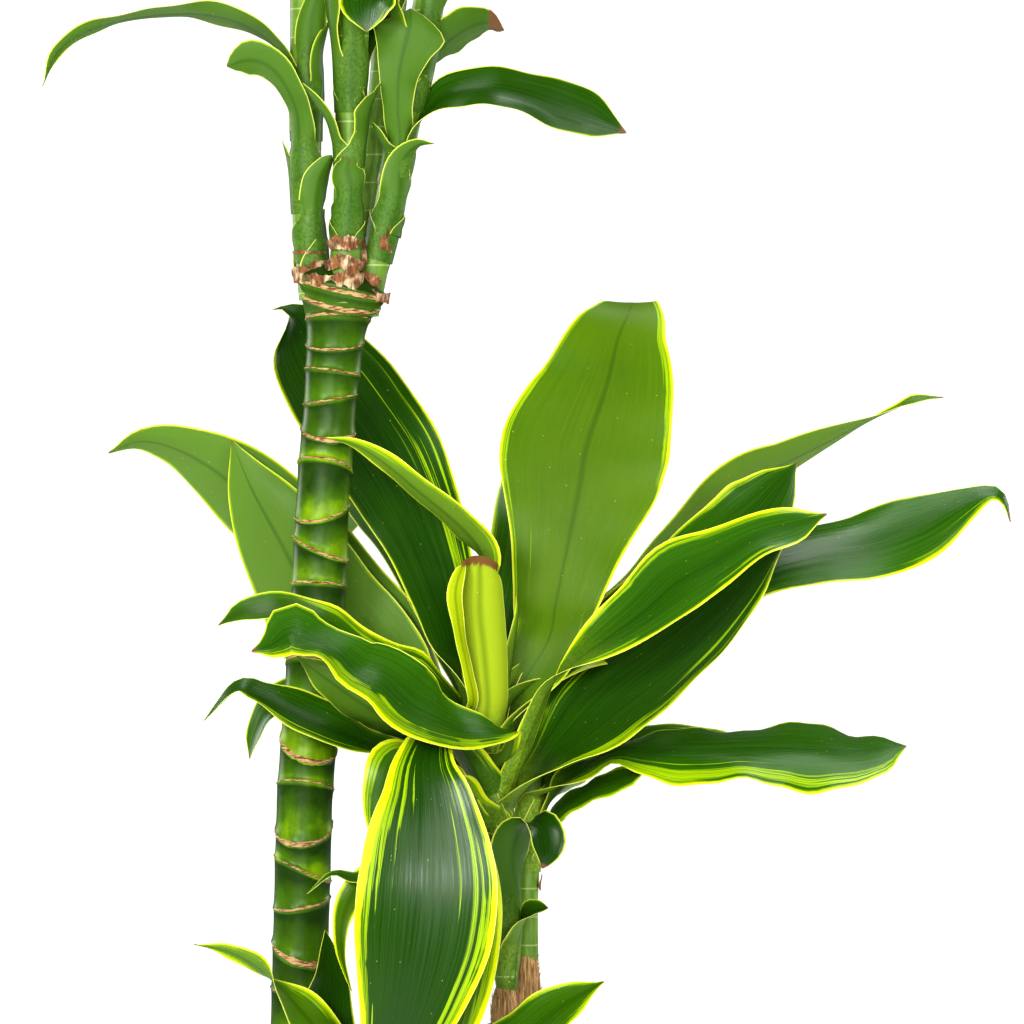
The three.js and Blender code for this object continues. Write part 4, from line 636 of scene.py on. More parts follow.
MIDDLE_LEAVES = {
    # wide_upright's light of 0.5 is painted light, the glow of light through its backlit blade.
    "wide_upright": dict(foot=555, leave=578, turn=60, half=45,
        widths=(17, 22, 31, 41, 45, 36.5, 26.5, 20, 13, 9, 5, 1), peak=0.56, base=0.3, tip=1.15, cup=0.1,
        swell=2, wave=1.5, waves=3.5, edge=(2.4, 3.2), streak=(0.5, 0.4), light=0.5, pale=0.2,
        path=[(67, 12, 619, -0.2, -1, 0), (72, 19, 640, -0.2, -1, 0.05), (79, 26, 674, -0.2, -1, 0.1),
              (84, 31, 698, -0.2, -1, 0.1), (88, 37, 720, -0.2, -1, 0.15), (98, 46, 750, -0.2, -1, 0.25),
              (104, 56, 774, -0.15, -1, 0.45), (109, 65, 786, -0.1, -0.8, 0.7), (112, 80, 793, 0, -0.3, 1),
              (115, 97, 792, 0, 0.3, 1), (116, 110, 783, 0, 0.8, 0.7), (118, 116, 772, 0, 1, 0.4)]),
    "right_front": dict(foot=520, leave=541, turn=-35, half=27,
        widths=(7, 7, 7.5, 10, 12.5, 15, 21, 26, 22, 16, 11.5, 1.5), peak=0.66, base=0.3, tip=1.6, wave=2.2,
        waves=1.6, edge=(3.6, 4.2), streak=(0.35, 0.4), light=0, pale=1, green_from=0.5,
        path=[(52, -13, 557, -0.7, 0.7, 0), (57, -14, 572, -0.7, 0.6, 0.2), (62, -16, 585, -0.7, 0.5, 0.4),
              (68, -18, 598, -0.6, 0.3, 0.7), (77, -19, 608, -0.5, -0.1, 0.8),
              (93, -20, 620, -0.3, -0.5, 0.8), (114, -21, 635, -0.3, -0.65, 0.7),
              (133, -22, 651, -0.3, -0.75, 0.6), (151, -23, 661, -0.3, -0.75, 0.6),
              (172, -24, 673, -0.2, -0.75, 0.6), (191, -25, 679, 0, -0.8, 0.6),
              (206, -26, 685, 0, -0.8, 0.6)]),
    "right_broad": dict(foot=520, leave=538, turn=-8, half=38, peak=0.5, base=0.3, tip=2, edge=(2.6, 3.6),
        streak=(0.3, 0.7), light=-0.2, pale=0.7, green_from=0.2,
        path=[(62, -10, 555, -0.7, -0.3, 0.6), (82, -8, 575, -0.5, -0.6, 0.6),
              (103, -4, 594, -0.5, -0.65, 0.6), (129, -4, 614, -0.5, -0.65, 0.6),
              (152, -6, 635, -0.5, -0.65, 0.6), (171, -8, 655, -0.5, -0.65, 0.6),
              (186, -10, 671, -0.4, -0.65, 0.6)]),
    "right_upper": dict(foot=560, leave=585, turn=30, half=26, widths=(12, 16, 20, 24, 25, 17, 1.2),
        peak=0.72, tip=2.5, swell=1.6, edge=(2.2, 1.6), streak=(0.3, 0.3), light=-0.1, pale=0.7,
        path=[(68, 24, 606, -0.6, -0.6, 0.5), (101, 31, 629, -0.5, -0.7, 0.6),
              (125, 34, 647, -0.4, -0.7, 0.6), (150, 34, 666, -0.4, -0.7, 0.6),
              (174, 32, 684, -0.4, -0.7, 0.6), (185, 30, 698, -0.4, -0.7, 0.6),
              (194, 28, 711, -0.4, -0.7, 0.6)]),
    "right_far": dict(foot=575, leave=592, turn=45, half=22, widths=(12, 15, 18, 21, 18, 14, 9, 5, 5, 0.8),
        peak=0.55, tip=1.2, edge=(2.4, 1.4), streak=(0.4, 0.3), light=0.3,
        path=[(72, 46, 620, -0.5, 0.1, 0.8), (100, 64, 641, -0.4, 0.4, 0.8), (126, 76, 661, -0.4, 0.5, 0.8),
              (167, 80, 699, -0.4, 0.5, 0.8), (188, 83, 710, -0.4, 0.5, 0.8),
              (208, 85, 720, -0.4, 0.5, 0.8), (229, 87, 731, -0.3, 0.4, 0.9), (247, 88, 739, -0.2, 0.1, 1),
              (259, 88, 744, 0, -0.5, 0.8), (272, 88, 745, 0, -0.5, 0.9)]),
    "right_long": dict(foot=550, leave=570, turn=20, half=28,
        widths=(13, 18, 23, 26, 27.5, 27, 22, 13, 5, 4.5, 1), peak=0.6, tip=1.6, cup=-0.3, wave=3,
        edge=(1.2, 2.6), streak=(0, 0.55), light=-0.1, dry=0.1,
        path=[(68, 16, 602, -0.6, -0.4, 0.7), (100, 26, 623, -0.4, -0.5, 0.8),
              (140, 30, 646, -0.3, -0.6, 0.8), (178, 31, 661, -0.1, -0.6, 0.8),
              (205, 31, 668, 0, -0.6, 0.8), (230, 29, 672, 0, -0.65, 0.7), (255, 27, 680, -0.1, -0.65, 0.7),
              (276, 25, 690, -0.1, -0.6, 0.8), (291, 23, 696, 0, -0.5, 0.8), (298, 22, 692, 0.6, -0.5, 0.6),
              (301, 21, 681, 0.8, -0.5, 0.3)]),
    # curled_sheath's light of -0.35 is painted shade in the hollow of the curled sheath.
    "curled_sheath": dict(foot=470, leave=492, turn=-25, half=12, widths=(12, 12.5, 12, 11, 10.5, 9, 5),
        peak=0.6, base=0.8, cup=0.5, round=0.12, wave=0.8, edge=(1, 1), streak=(0.1, 0.1), light=-0.35,
        pale=0.35, dry=0.2,
        path=[(50, -14, 512, -0.6, 0.8, 0.1), (53, -17, 526, -0.5, 0.6, 0.5), (59, -19, 532, -0.2, 0, 1),
              (64, -21, 530, 0.3, -0.6, 0.7), (67, -21, 523, 0.5, -0.8, 0.3),
              (67, -21, 515, 0.5, -0.8, 0.1), (65, -20, 509, 0.5, -0.8, 0)]),
    "small_sheath": dict(foot=448, leave=468, turn=-40, half=9, widths=(9, 8.5, 3), peak=0.4, base=0.9,
        cup=0.8, wave=0, edge=(1, 1), streak=(0.1, 0.1), light=0.1, pale=0.4,
        path=[(55, -13, 480, -0.8, 0.1, 0.5), (60, -15, 487, -0.3, -0.5, 0.8),
              (68, -15, 489, 0.2, -0.5, 0.85)]),
    "left_tall": dict(foot=565, leave=588, turn=150, half=34, widths=(16, 24, 31, 33, 27, 16, 7, 1),
        peak=0.62, base=0.3, tip=2.5, edge=(1.6, 1.5), streak=(0.15, 0.75), light=-0.25, pale=0.5,
        path=[(19, 16, 630, 0.3, -1, 0.1), (5, 32, 672, 0.3, -1, 0.2), (-14, 47, 711, 0.3, -1, 0.4),
              (-38, 58, 746, 0.3, -1, 0.5), (-54, 62, 770, 0.3, -1, 0.5), (-60, 60, 783, 0.3, -0.8, 0.7),
              (-65, 58, 789, 0.1, -0.4, 1), (-72, 57, 789, -0.2, -0.2, 1)]),
    "left_arching": dict(foot=590, leave=612, turn=120, half=12, peak=0.5, cup=0.4, wave=1, edge=(2.5, 2),
        streak=(0.4, 0.3), light=0.75, pale=0.8,
        path=[(34, 10, 636, 0.7, -0.8, 0), (37, 8, 652, 0.9, -0.3, 0.1), (34, -2, 667, 0.6, 0.5, 0.6),
              (22, -12, 681, 0.4, 0.6, 0.7), (4, -18, 696, 0.4, 0.6, 0.7), (-14, -21, 711, 0.3, 0.6, 0.8),
              (-29, -21, 720, 0.3, 0.6, 0.8), (-43, -21, 723, 0.2, 0.6, 0.8)]),
    "left_far": dict(foot=540, leave=560, turn=170, half=28, peak=0.66, base=0.3, tip=1.6, edge=(1.6, 1.6),
        streak=(0.2, 0.2), light=0,
        path=[(4, 40, 612, 0.3, 0.6, 0.7), (-28, 52, 641, 0.4, 0.8, 0.5), (-58, 56, 669, 0.4, 0.9, 0.4),
              (-84, 56, 693, 0.4, 0.9, 0.4), (-104, 56, 709, 0.3, 0.8, 0.5), (-123, 54, 719, 0.2, 0.6, 0.7),
              (-140, 52, 722, 0, 0.6, 0.7), (-155, 50, 716, -0.2, 0.6, 0.7)]),
    "left_broad": dict(foot=530, leave=548, turn=175, half=36, peak=0.5, base=0.3, tip=2.2, edge=(1.4, 1.4),
        streak=(0.1, 0.2), light=0,
        path=[(-6, 34, 590, 0.4, 0.8, 0.5), (-38, 42, 622, 0.4, 1, 0.2), (-57, 43, 652, 0.4, 1, 0.2),
              (-68, 43, 672, 0.4, 1, 0.2), (-82, 42, 698, 0.3, 1, 0.2), (-92, 42, 722, 0.3, 1, 0.2)]),
    "left_wavy": dict(foot=540, leave=556, turn=190, half=27, widths=(18, 28, 16, 18, 17, 11, 1.5),
        peak=0.5, wave=2.5, waves=2.2, edge=(1.8, 3), streak=(0.3, 0.6), light=0.1,
        path=[(22, -12, 585, 0.5, -0.3, 0.7), (4, -20, 600, 0.4, -0.5, 0.8),
              (-20, -28, 612, 0.3, -0.5, 0.8), (-41, -36, 628, 0.1, -0.5, 0.8),
              (-61, -38, 637, 0, -0.5, 0.8), (-81, -38, 637, -0.2, -0.5, 0.8),
              (-95, -36, 630, -0.4, -0.4, 0.7)]),
    "left_front": dict(foot=545, leave=558, turn=-60, half=28,
        widths=(5, 3, 6, 11, 19, 26.5, 27.5, 23, 20, 17, 14.5, 17, 19, 11, 1.5), peak=0.5, tip=2.5,
        wave=1.5, waves=2, edge=(8.5, 1.4), streak=(0.7, 0.15), light=0, dry=0.1,
        path=[(49, -24, 566, -0.2, 0.1, 1), (51, -38, 577, 0, -0.4, 0.9), (47, -45, 577, 0, -0.65, 0.75),
              (40, -52, 578, 0.1, -0.7, 0.7), (26, -60, 579, 0.1, -0.65, 0.75),
              (14, -68, 584, 0.15, -0.6, 0.8), (0, -72, 591, 0.2, -0.6, 0.8),
              (-13, -75, 603, 0.2, -0.6, 0.8), (-26, -76, 609, 0.2, -0.6, 0.8),
              (-32, -76, 615, 0.2, -0.6, 0.8), (-41, -76, 621, 0.2, -0.55, 0.8),
              (-50, -76, 624, 0.1, -0.65, 0.7), (-58, -76, 627, 0, -0.75, 0.6),
              (-67, -75, 621, -0.4, -0.7, 0.5), (-77, -74, 618, -0.3, -0.7, 0.6)]),
    "left_low": dict(foot=530, leave=542, turn=205, half=17, peak=0.6, tip=1.6, edge=(2.5, 1.6),
        streak=(0.55, 0.1), light=-0.1,
        path=[(12, -12, 562, 0.3, -0.4, 0.9), (-6, -22, 567, 0.2, -0.5, 0.85),
              (-20, -29, 571, 0.2, -0.5, 0.85), (-37, -36, 578, 0.2, -0.5, 0.85),
              (-55, -37, 586, 0.2, -0.5, 0.85), (-75, -37, 596, 0, -0.5, 0.85),
              (-86, -36, 599, -0.3, -0.5, 0.85), (-102, -35, 583, -0.8, -0.5, 0.5)]),
    "left_under": dict(foot=535, leave=550, turn=-120, half=20, peak=0.55, edge=(1.4, 1.4),
        streak=(0.1, 0.1), light=0.1,
        path=[(20, -20, 570, 0.1, 0.3, 0.9), (0, -32, 578, 0.3, 0.5, 0.7), (-20, -40, 589, 0.4, 0.7, 0.5),
              (-40, -45, 603, 0.4, 0.7, 0.5), (-56, -46, 615, 0.4, 0.7, 0.5)]),
    "left_drooping": dict(foot=520, leave=532, turn=160, half=17, widths=(12, 14, 16, 15, 13, 8, 1.5),
        peak=0.55, tip=2.5, edge=(1.2, 1.2), streak=(0.1, 0.1), light=0.1,
        path=[(6, 24, 550, 0, 0.2, 1), (-16, 36, 566, 0, -0.3, 1), (-38, 42, 583, 0, -0.4, 0.9),
              (-58, 44, 592, -0.2, -0.5, 0.8), (-72, 44, 587, -0.7, -0.7, 0.4),
              (-80, 43, 573, -0.8, -0.6, 0), (-83, 42, 561, -0.8, -0.6, -0.1)]),
    "inner_droop": dict(foot=512, leave=526, turn=-130, half=15, widths=(8, 10, 13, 12, 8, 1.5), peak=0.5,
        edge=(2, 4), streak=(0.4, 0.4), light=0.1,
        path=[(18, -30, 556, 0, 0, 1), (2, -44, 568, -0.3, -0.4, 0.9), (-8, -50, 563, -0.4, -0.8, 0.4),
              (-13, -54, 550, -0.4, -0.9, 0.1), (-16, -56, 538, -0.4, -0.9, 0),
              (-18, -56, 524, -0.4, -0.9, 0)]),
    "inner_curl": dict(foot=505, leave=520, turn=-140, half=12, peak=0.4, tip=1.4, wave=1, edge=(1.4, 1.4),
        streak=(0.1, 0.1), light=0.1,
        path=[(16, -30, 538, -0.1, -0.3, 1), (-2, -44, 534, -0.3, -0.5, 0.8),
              (-14, -50, 514, -0.6, -0.6, 0.4), (-26, -50, 506, -0.2, -0.6, 0.8),
              (-38, -48, 508, 0, -0.6, 0.8), (-51, -46, 498, -0.6, -0.5, 0.5)]),
    "front_hanging": dict(foot=525, leave=542, turn=-100, half=36.5,
        widths=(10, 9.5, 10, 16, 23, 30, 35, 34.5, 27, 17, 9, 1.5), base=0.3, cup=0.25, swell=1.5, wave=1,
        waves=2, edge=(6, 7.5), streak=(0.9, 0.4), light=-0.3, pale=0.4,
        path=[(30, -30, 562, 0, 0.2, 1), (21, -46, 573, -0.1, 0, 1), (11, -61, 575, -0.1, -0.7, 0.8),
              (7, -71, 562, 0, -1, 0.3), (8, -77, 547, 0, -1, 0.2), (8.5, -81, 530, 0, -1, 0.15),
              (9, -85, 505, 0, -1, 0.1), (6.5, -86, 478, 0, -1, 0), (0.9, -84, 450, 0, -1, -0.1),
              (-6.5, -80, 422, 0, -1, -0.15), (-11, -75, 396, 0, -1, -0.25), (-13, -69, 376, 0, -1, -0.3)]),
    "front_second": dict(foot=515, leave=530, turn=-115, half=19, widths=(6, 6, 6, 9, 13, 15, 14, 12, 9, 1),
        peak=0.6, edge=(6, 8), streak=(0.8, 0.7), light=0.4,
        path=[(28, -32, 551, 0, 0.2, 1), (20, -48, 555, 0, -0.4, 1), (22, -58, 550, 0, -0.9, 0.4),
              (27, -62, 530, 0.1, -1, 0.2), (30, -66, 511, 0.1, -1, 0.1), (31, -69, 492, 0.1, -1, 0),
              (30, -71, 472, 0.1, -1, 0), (28, -72, 453, 0.1, -1, -0.1), (25, -73, 436, 0, -1, -0.1),
              (21, -73, 419, 0, -1, -0.1)]),
    "inner_strip": dict(foot=490, leave=504, turn=-150, half=8, peak=0.6, wave=1, edge=(2, 3),
        streak=(0.4, 0.4), light=0.4,
        path=[(20, -24, 518, 0.3, -0.2, 1), (0, -38, 517, 0, -0.4, 0.9), (-18, -44, 508, -0.3, -0.7, 0.7),
              (-31, -46, 492, -0.6, -0.8, 0.3), (-34, -46, 470, -0.7, -0.7, 0),
              (-29, -46, 450, -0.7, -0.7, -0.2)]),
    "centre_column": dict(foot=535, leave=575, turn=-90, half=13,
        widths=(12.5, 14.6, 15.6, 14.2, 11.5, 10.2), peak=0.7, base=0.8, tip=3, end=0.5, cup=1.15, wave=0,
        edge=(0.3, 0.3), streak=(0.15, 0.15), light=1.6, pale=1, dry=0.35,
        path=[(38, -14, 592, 0, 1, 0), (36, -15, 617, 0, 1, 0.05), (34, -16, 636, 0, 1, 0.05),
              (34, -16, 650, 0, 1, 0.05), (34, -15, 658, 0, 1, 0), (35, -11, 664, 0, 1, -0.3)]),
    "centre_small": dict(foot=560, leave=590, turn=0, half=8, peak=0.4, cup=0.8, wave=0, edge=(0.8, 0.8),
        streak=(0.1, 0.1), light=0.8, pale=0.8,
        path=[(50, 0, 612, -1, 0.3, 0), (53, -1, 635, -1, 0.3, 0), (52, -1, 645, -1, 0.3, 0)]),
    "back_right": dict(foot=560, leave=580, turn=75, half=32, edge=(1.4, 1.9),
        path=[(52, 32, 628, -0.2, -0.8, 0.4), (72, 80, 690, -0.2, -0.8, 0.5), (88, 135, 728, -0.1, -0.3, 1),
              (98, 190, 725, 0.1, 0.3, 1), (104, 235, 690, 0.2, 0.7, 0.7)]),
    "back_left": dict(foot=555, leave=575, turn=115, half=30, edge=(1.4, 1.8),
        path=[(22, 34, 620, 0.3, -0.7, 0.4), (2, 80, 665, 0.3, -0.7, 0.6), (-18, 135, 692, 0.1, -0.2, 1),
              (-36, 190, 690, -0.2, 0.3, 1), (-48, 232, 660, -0.4, 0.7, 0.6)]),
    "back_low": dict(foot=535, leave=552, turn=85, half=28, edge=(1.3, 1.7),
        path=[(42, 34, 578, 0, -0.7, 0.6), (48, 80, 602, 0, -0.4, 0.9), (52, 135, 608, 0, 0, 1),
              (54, 190, 582, 0, 0.5, 0.8), (54, 225, 545, 0, 0.8, 0.5)]),
    "back_hanging": dict(foot=515, leave=530, turn=110, half=26, edge=(1.2, 1.6),
        path=[(34, 32, 546, 0, -0.3, 1), (28, 70, 552, 0, 0, 1), (24, 98, 532, 0, 0.7, 0.6),
              (20, 108, 492, 0, 1, 0.2), (18, 112, 450, 0, 1, 0), (14, 112, 415, 0, 1, -0.1)]),
    "centre_flap": dict(foot=548, leave=582, turn=-150, half=8, widths=(3, 3.2, 3.6, 4, 4.4, 3.4, 1.5),
        cup=0.5, wave=1, edge=(1.6, 0.4), streak=(0, 0), light=1.15, dry=0.3,
        path=[(31, -15, 592, -0.4, -0.9, 0), (28, -18, 608, -0.4, -0.9, 0), (25, -20, 622, -0.4, -0.9, 0),
              (23, -22, 635, -0.5, -0.9, 0), (22, -23, 646, -0.5, -0.9, 0.1),
              (24, -21, 655, -0.4, -0.8, 0.5), (27, -16, 662, -0.2, -0.5, 0.9)]),
}
ROW_SPACING = 4.5
FINE_ROWS = 0.7               # share of that spacing on leaves that are not broad
BROAD_LEAF = 24               # half widths above which a leaf is broad, and above which it isn't slim
SLIM_LEAF = 12
CLASP_TURN = 2.7              # half of the angle that a sheath takes round its stem, in radians
SHEATH_GAP = (0.3, 1.0)       # between stem and sheath, at its foot and where it lets go
WIDTH_BLUR = 0.022            # share of the length over which given widths run into each other
THINNEST_HALF = 0.4
RIB_WIDTH = 3.5
BLADE_THICK = 0.62
EDGE_THICK = 0.3
VEIN_SPACING = 1.4            # the real veins are closer than a pixel here, so they are drawn coarser
STRIPE_WIDE, STRIPE_LONG = 3.3333, 181.82
LINE_WIDE, LINE_LONG = 0.76923, 83.333
RIM_RUN = 55.556              # length along the edge over which the yellow rim changes width
LEAF_CLOUD = 31.25
SPECKLE = 1.4286
SPECK_SPACING = 6.5
LEAF_DEEP = "143203"
LEAF_DARK = "204A03"
LEAF_GREEN = "386A06"
LEAF_OLIVE = "678404"
LEAF_LIME = "98BA08"
LEAF_YELLOW = "DEE80A"
LEAF_RIM = "DCE27C"
LEAF_UNDER = "6C8F30"
SHEATH_GREEN = "4A6F2A"
SHEATH_LIME = "A6C43C"
LEAF_DRY = "7A5530"
CUTICLE_IOR = 1.46


def ease(x):
    """0 below 0, 1 above 1 and a soft step between."""
    x = np.clip(x, 0.0, 1.0)
    return x * x * (3 - 2 * x)


def follow(rows, count):
    """count + 1 even steps along a Catmull-Rom curve through the rows, its length, and the share of it
    at which each row lies."""
    p = np.array(rows, float)
    last = len(p) - 1
    dense = []
    for i in range(last):
        a = p[i - 1] if i > 0 else 2 * p[0] - p[1]
        d = p[i + 2] if i + 2 <= last else 2 * p[last] - p[last - 1]
        b, c = p[i], p[i + 1]
        t = np.linspace(0, 1, 16, endpoint=False)[:, None]
        t0, t1 = 0.5 * (c - a), 0.5 * (d - b)
        dense.append((2 * b - 2 * c + t0 + t1) * t ** 3 + (3 * c - 3 * b - 2 * t0 - t1) * t ** 2 + t0 * t + b)
    dense = np.concatenate(dense + [p[last:]])
    run = np.concatenate([[0], np.cumsum(np.linalg.norm(np.diff(dense[:, :3], axis=0), axis=1))])
    steps = np.linspace(0, run[-1], count + 1)
    return np.stack([np.interp(steps, run, dense[:, k]) for k in range(6)], 1), run[-1], run[::16] / run[-1]


def across_at(turn):
    """The level direction at an angle in degrees."""
    return np.array([math.cos(math.radians(turn)), math.sin(math.radians(turn))])


def slab(upper, lower):
    """Points and faces of a closed slab between two grids of points, [column, row, place]."""
    wide, long = upper.shape[:2]
    spots = np.arange(wide * long).reshape(wide, long)
    below = spots.size
    corners = (spots[:-1, :-1], spots[1:, :-1], spots[1:, 1:], spots[:-1, 1:])
    quads = np.stack([c.ravel() for c in corners], 1)
    rim = np.concatenate([spots[:, 0], spots[-1, 1:], spots[-2::-1, -1], spots[0, -2:0:-1]])
    on = np.roll(rim, -1)
    edge = np.stack([rim, below + rim, below + on, on], 1)
    return (np.concatenate([upper.reshape(-1, 3), lower.reshape(-1, 3)]),
            np.concatenate([quads, below + quads[:, ::-1], edge]))


def joined(parts):
    """Points and faces of several parts as those of one."""
    starts = np.cumsum([0] + [len(points) for points, _ in parts])
    return (np.concatenate([points for points, _ in parts]),
            np.concatenate([faces + start for (_, faces), start in zip(parts, starts)]).tolist())


def leaf_blade(stem, leaf, seed):
    """Points, faces and attributes of one leaf as a thin closed slab."""
    form = LEAF_FORM | leaf
    out = across_at(form["turn"])
    rows, clasped = [], []
    for z, gap in zip((form["foot"], form["leave"]), SHEATH_GAP):
        x, y, _, radius = at_height(stem, z)
        clasped.append(radius + gap + form["over"])
        rows.append([x + clasped[-1] * out[0], y + clasped[-1] * out[1], z, -out[0], -out[1], 0])
    for row in form["path"]:
        rows.append([*row[:3], *(np.array(row[3:], float) / np.linalg.norm(row[3:]))])
    length = sum(np.linalg.norm(np.subtract(b[:3], a[:3])) for a, b in zip(rows, rows[1:]))
    half, peak = form["half"], form["peak"]
    count = max(28, round(length / (ROW_SPACING if half > BROAD_LEAF else FINE_ROWS * ROW_SPACING)))
    spine, length, knots = follow(rows, count)
    let_go = knots[1]
    along = np.gradient(spine[:, :3], axis=0)
    along /= np.linalg.norm(along, axis=1)[:, None]
    face = spine[:, 3:] - (spine[:, 3:] * along).sum(1)[:, None] * along
    face /= np.linalg.norm(face, axis=1)[:, None]
    side = np.cross(along, face)
    s = np.linspace(0, 1, count + 1)

    rise = form["base"] + (1 - form["base"]) * ease(s / peak) ** form["swell"]
    fall = 1 - np.clip((s - peak) / (1 - peak), 0, 1) ** form["tip"]
    blade_width = half * np.maximum(np.where(s < peak, rise, fall), form["end"])
    if "widths" in form:
        fine_s = np.linspace(-0.2, 1.2, 561)
        near = np.exp(-0.5 * ((fine_s[:, None] - fine_s[None]) / WIDTH_BLUR) ** 2)
        given = np.interp(fine_s, knots, (form["widths"][0],) * 2 + tuple(form["widths"]))
        blade_width = np.interp(s, fine_s, (near @ given) / near.sum(1))
        if form["end"] < 0.1:
            blade_width = blade_width * np.clip((1 - s) / form["round"], 0.0, 1.0) ** 0.5
        blade_width = np.maximum(blade_width, THINNEST_HALF)
    opened = ease((s - let_go) / form["sheath"])
    bend = np.where(s < let_go, form["wrap"] + (CLASP_TURN - form["wrap"]) * (1 - ease(s / let_go)),
                    form["cup"] + (form["wrap"] - form["cup"]) * (1 - opened))
    hold = 1 - ease((s - let_go * 0.7) / 0.13)
    sheath_width = bend * np.interp(s, [0, let_go], clasped)
    width = blade_width + (sheath_width - blade_width) * hold

    draw = np.random.default_rng(seed)
    columns = 14 if half > BROAD_LEAF else 10 if half > SLIM_LEAF else 8
    across = np.linspace(-1, 1, columns + 1)
    across = np.sign(across) * np.abs(across) ** 1.15
    free = ease((s - let_go - 0.05) / 0.2) * ease((1 - s) / 0.12)
    fine_phase = draw.uniform(0, 1, 2)
    upper, lower, blade, margin = [], [], [], []
    for u in across:
        far_side = 0 if u < 0 else 1
        coarse = np.sin(2 * math.pi * (form["waves"] * s + form["phase"] + 0.5 * (1 - far_side)))
        finer = np.sin(2 * math.pi * (2.9 * form["waves"] * s + fine_phase[far_side]))
        up = width / bend * (1 - np.cos(bend * u)) + form["wave"] * (coarse + 0.3 * finer) * free * u * u
        up = up - 0.5 * math.exp(-(u * half / RIB_WIDTH) ** 2) * opened * (1 - s) * min(1, half / 20)
        middle = spine[:, :3] + side * (width / bend * np.sin(bend * u))[:, None] + face * up[:, None]
        normal = face * np.cos(bend * u)[:, None] - side * np.sin(bend * u)[:, None]
        thick = (EDGE_THICK + (BLADE_THICK - EDGE_THICK) * (1 - u * u)) / 2
        thick = thick * (0.7 + 0.8 * (1 - ease((s - let_go) / 0.3)))[:, None]
        upper.append(middle + normal * thick)
        lower.append(middle - normal * thick)
        blade.append(np.stack([np.full(count + 1, u * half), s * length, np.full(count + 1, u)], -1))
        right = 0.5 if u == 0 else far_side
        even = [form[key][0] * (1 - right) + form[key][1] * right for key in ("edge", "streak")]
        margin.append(np.stack([(1 - abs(u)) * (0.7 * width + 0.3 * half)]
                               + [np.full(count + 1, value) for value in even], -1))
    points, faces = slab(np.stack(upper), np.stack(lower))
    clasp = 1 - ease((s - let_go) / form["green_from"])
    place = np.tile(np.stack([s, clasp, np.zeros(count + 1)], -1), (2 * (columns + 1), 1))
    place[len(place) // 2:, 2] = 1
    return points, faces, {
        "blade": np.concatenate(blade * 2), "place": place, "margin": np.concatenate(margin * 2),
        "trait": np.tile([form["light"], form["pale"], form["dry"]], (len(points), 1)),
        "kind": np.tile([seed * 3.7, 0, 0], (len(points), 1))}


# Waxy leaf skin. What the eye reads first is the bright yellow rim round deep green, then lime stripes
# that run with the veins, a dark midrib, pale dust specks and brown tips. Light leaves are more matt.
# On some leaves the light value is painted light and shade, not tone alone.
leaf_skin, tree, shader, here = new_finish("leaf_cuticle", IOR=CUTICLE_IOR, Specular_IOR_Level=0.24)
read = {}
for name in ("blade", "place", "margin", "trait", "kind"):
    vector = add(tree, "Attribute", attribute_name=name).node.outputs["Vector"]
    read[name] = add(tree, "SeparateXYZ", vector).node.outputs
across_mm, along_mm, across = read["blade"]
share, clasp, below_face = read["place"]
rim_mm, edge_mm, streak = read["margin"]
light, pale_base, dry = read["trait"]
seed = read["kind"]["X"]

# Colour runs in lines beside the veins: broad stripes towards the edges, and fine ones everywhere.
lines_at = add(tree, "CombineXYZ", across_mm, along_mm, seed)
broad_at = add(tree, "Mapping", lines_at, {"Scale": (1 / STRIPE_WIDE, 1 / STRIPE_LONG, 1)})
broad = add(tree, "TexNoise", broad_at, 1, 3, 0.5)
fine_at = add(tree, "Mapping", lines_at, {"Location": (0, 0, 5), "Scale": (1 / LINE_WIDE, 1 / LINE_LONG, 1)})
fine = add(tree, "TexNoise", fine_at, 1, 3, 0.5)
cloud = add(tree, "TexNoise", here, 1 / (LEAF_CLOUD * MM), 3)
speckle = add(tree, "TexNoise", here, 1 / (SPECKLE * MM), 3, 0.6)
from_middle = add(tree, "Math", across, operation="ABSOLUTE")
fine_share = add(tree, "MapRange", fine, 0.35, 0.7, 0, 0.55)
outward = add(tree, "MapRange", from_middle, 0, 0.8, 0, 0.45)
lit = add(tree, "Math", fine_share, outward, operation="ADD", use_clamp=True)
green = add(tree, "Mix", lit, LEAF_DARK, LEAF_GREEN, data_type="RGBA")
# A leaf's light value: below 0 it deepens the green, above 0 it pales it towards olive and yellow. This is
# partly the leaf's own tone and partly painted: painted shade on the fork's leaves and in the curled sheath,
# painted light through the backlit wide upright leaf.
deep_tone_and_shade = add(tree, "Math", light, -2.0, operation="MULTIPLY", use_clamp=True)
deep = add(tree, "Mix", deep_tone_and_shade, green, LEAF_DEEP, data_type="RGBA")
clouded = add(tree, "MapRange", cloud, 0.3, 0.7, 0.8, 1.15)
paler = add(tree, "Math", light, clouded, operation="MULTIPLY", use_clamp=True)
olive = add(tree, "Mix", paler, deep, LEAF_OLIVE, data_type="RGBA")
bright_part = add(tree, "Math", light, 0.8, operation="SUBTRACT", use_clamp=True)
pale = add(tree, "Mix", bright_part, olive, LEAF_YELLOW, data_type="RGBA")
zone = add(tree, "MapRange", from_middle, 0.1, 0.75)
crowd = add(tree, "Math", zone, streak, operation="MULTIPLY")
stripe_from = add(tree, "MapRange", crowd, 0, 1, 0.8, 0.45)
stripe_to = add(tree, "Math", stripe_from, 0.03, operation="ADD")
stripe_lines = add(tree, "MapRange", fine, 0.5, 0.56, 1, 0.35)
stripes = add(tree, "MapRange", broad, stripe_from, stripe_to, 0, stripe_lines)
striped = add(tree, "Mix", stripes, pale, LEAF_LIME, data_type="RGBA")

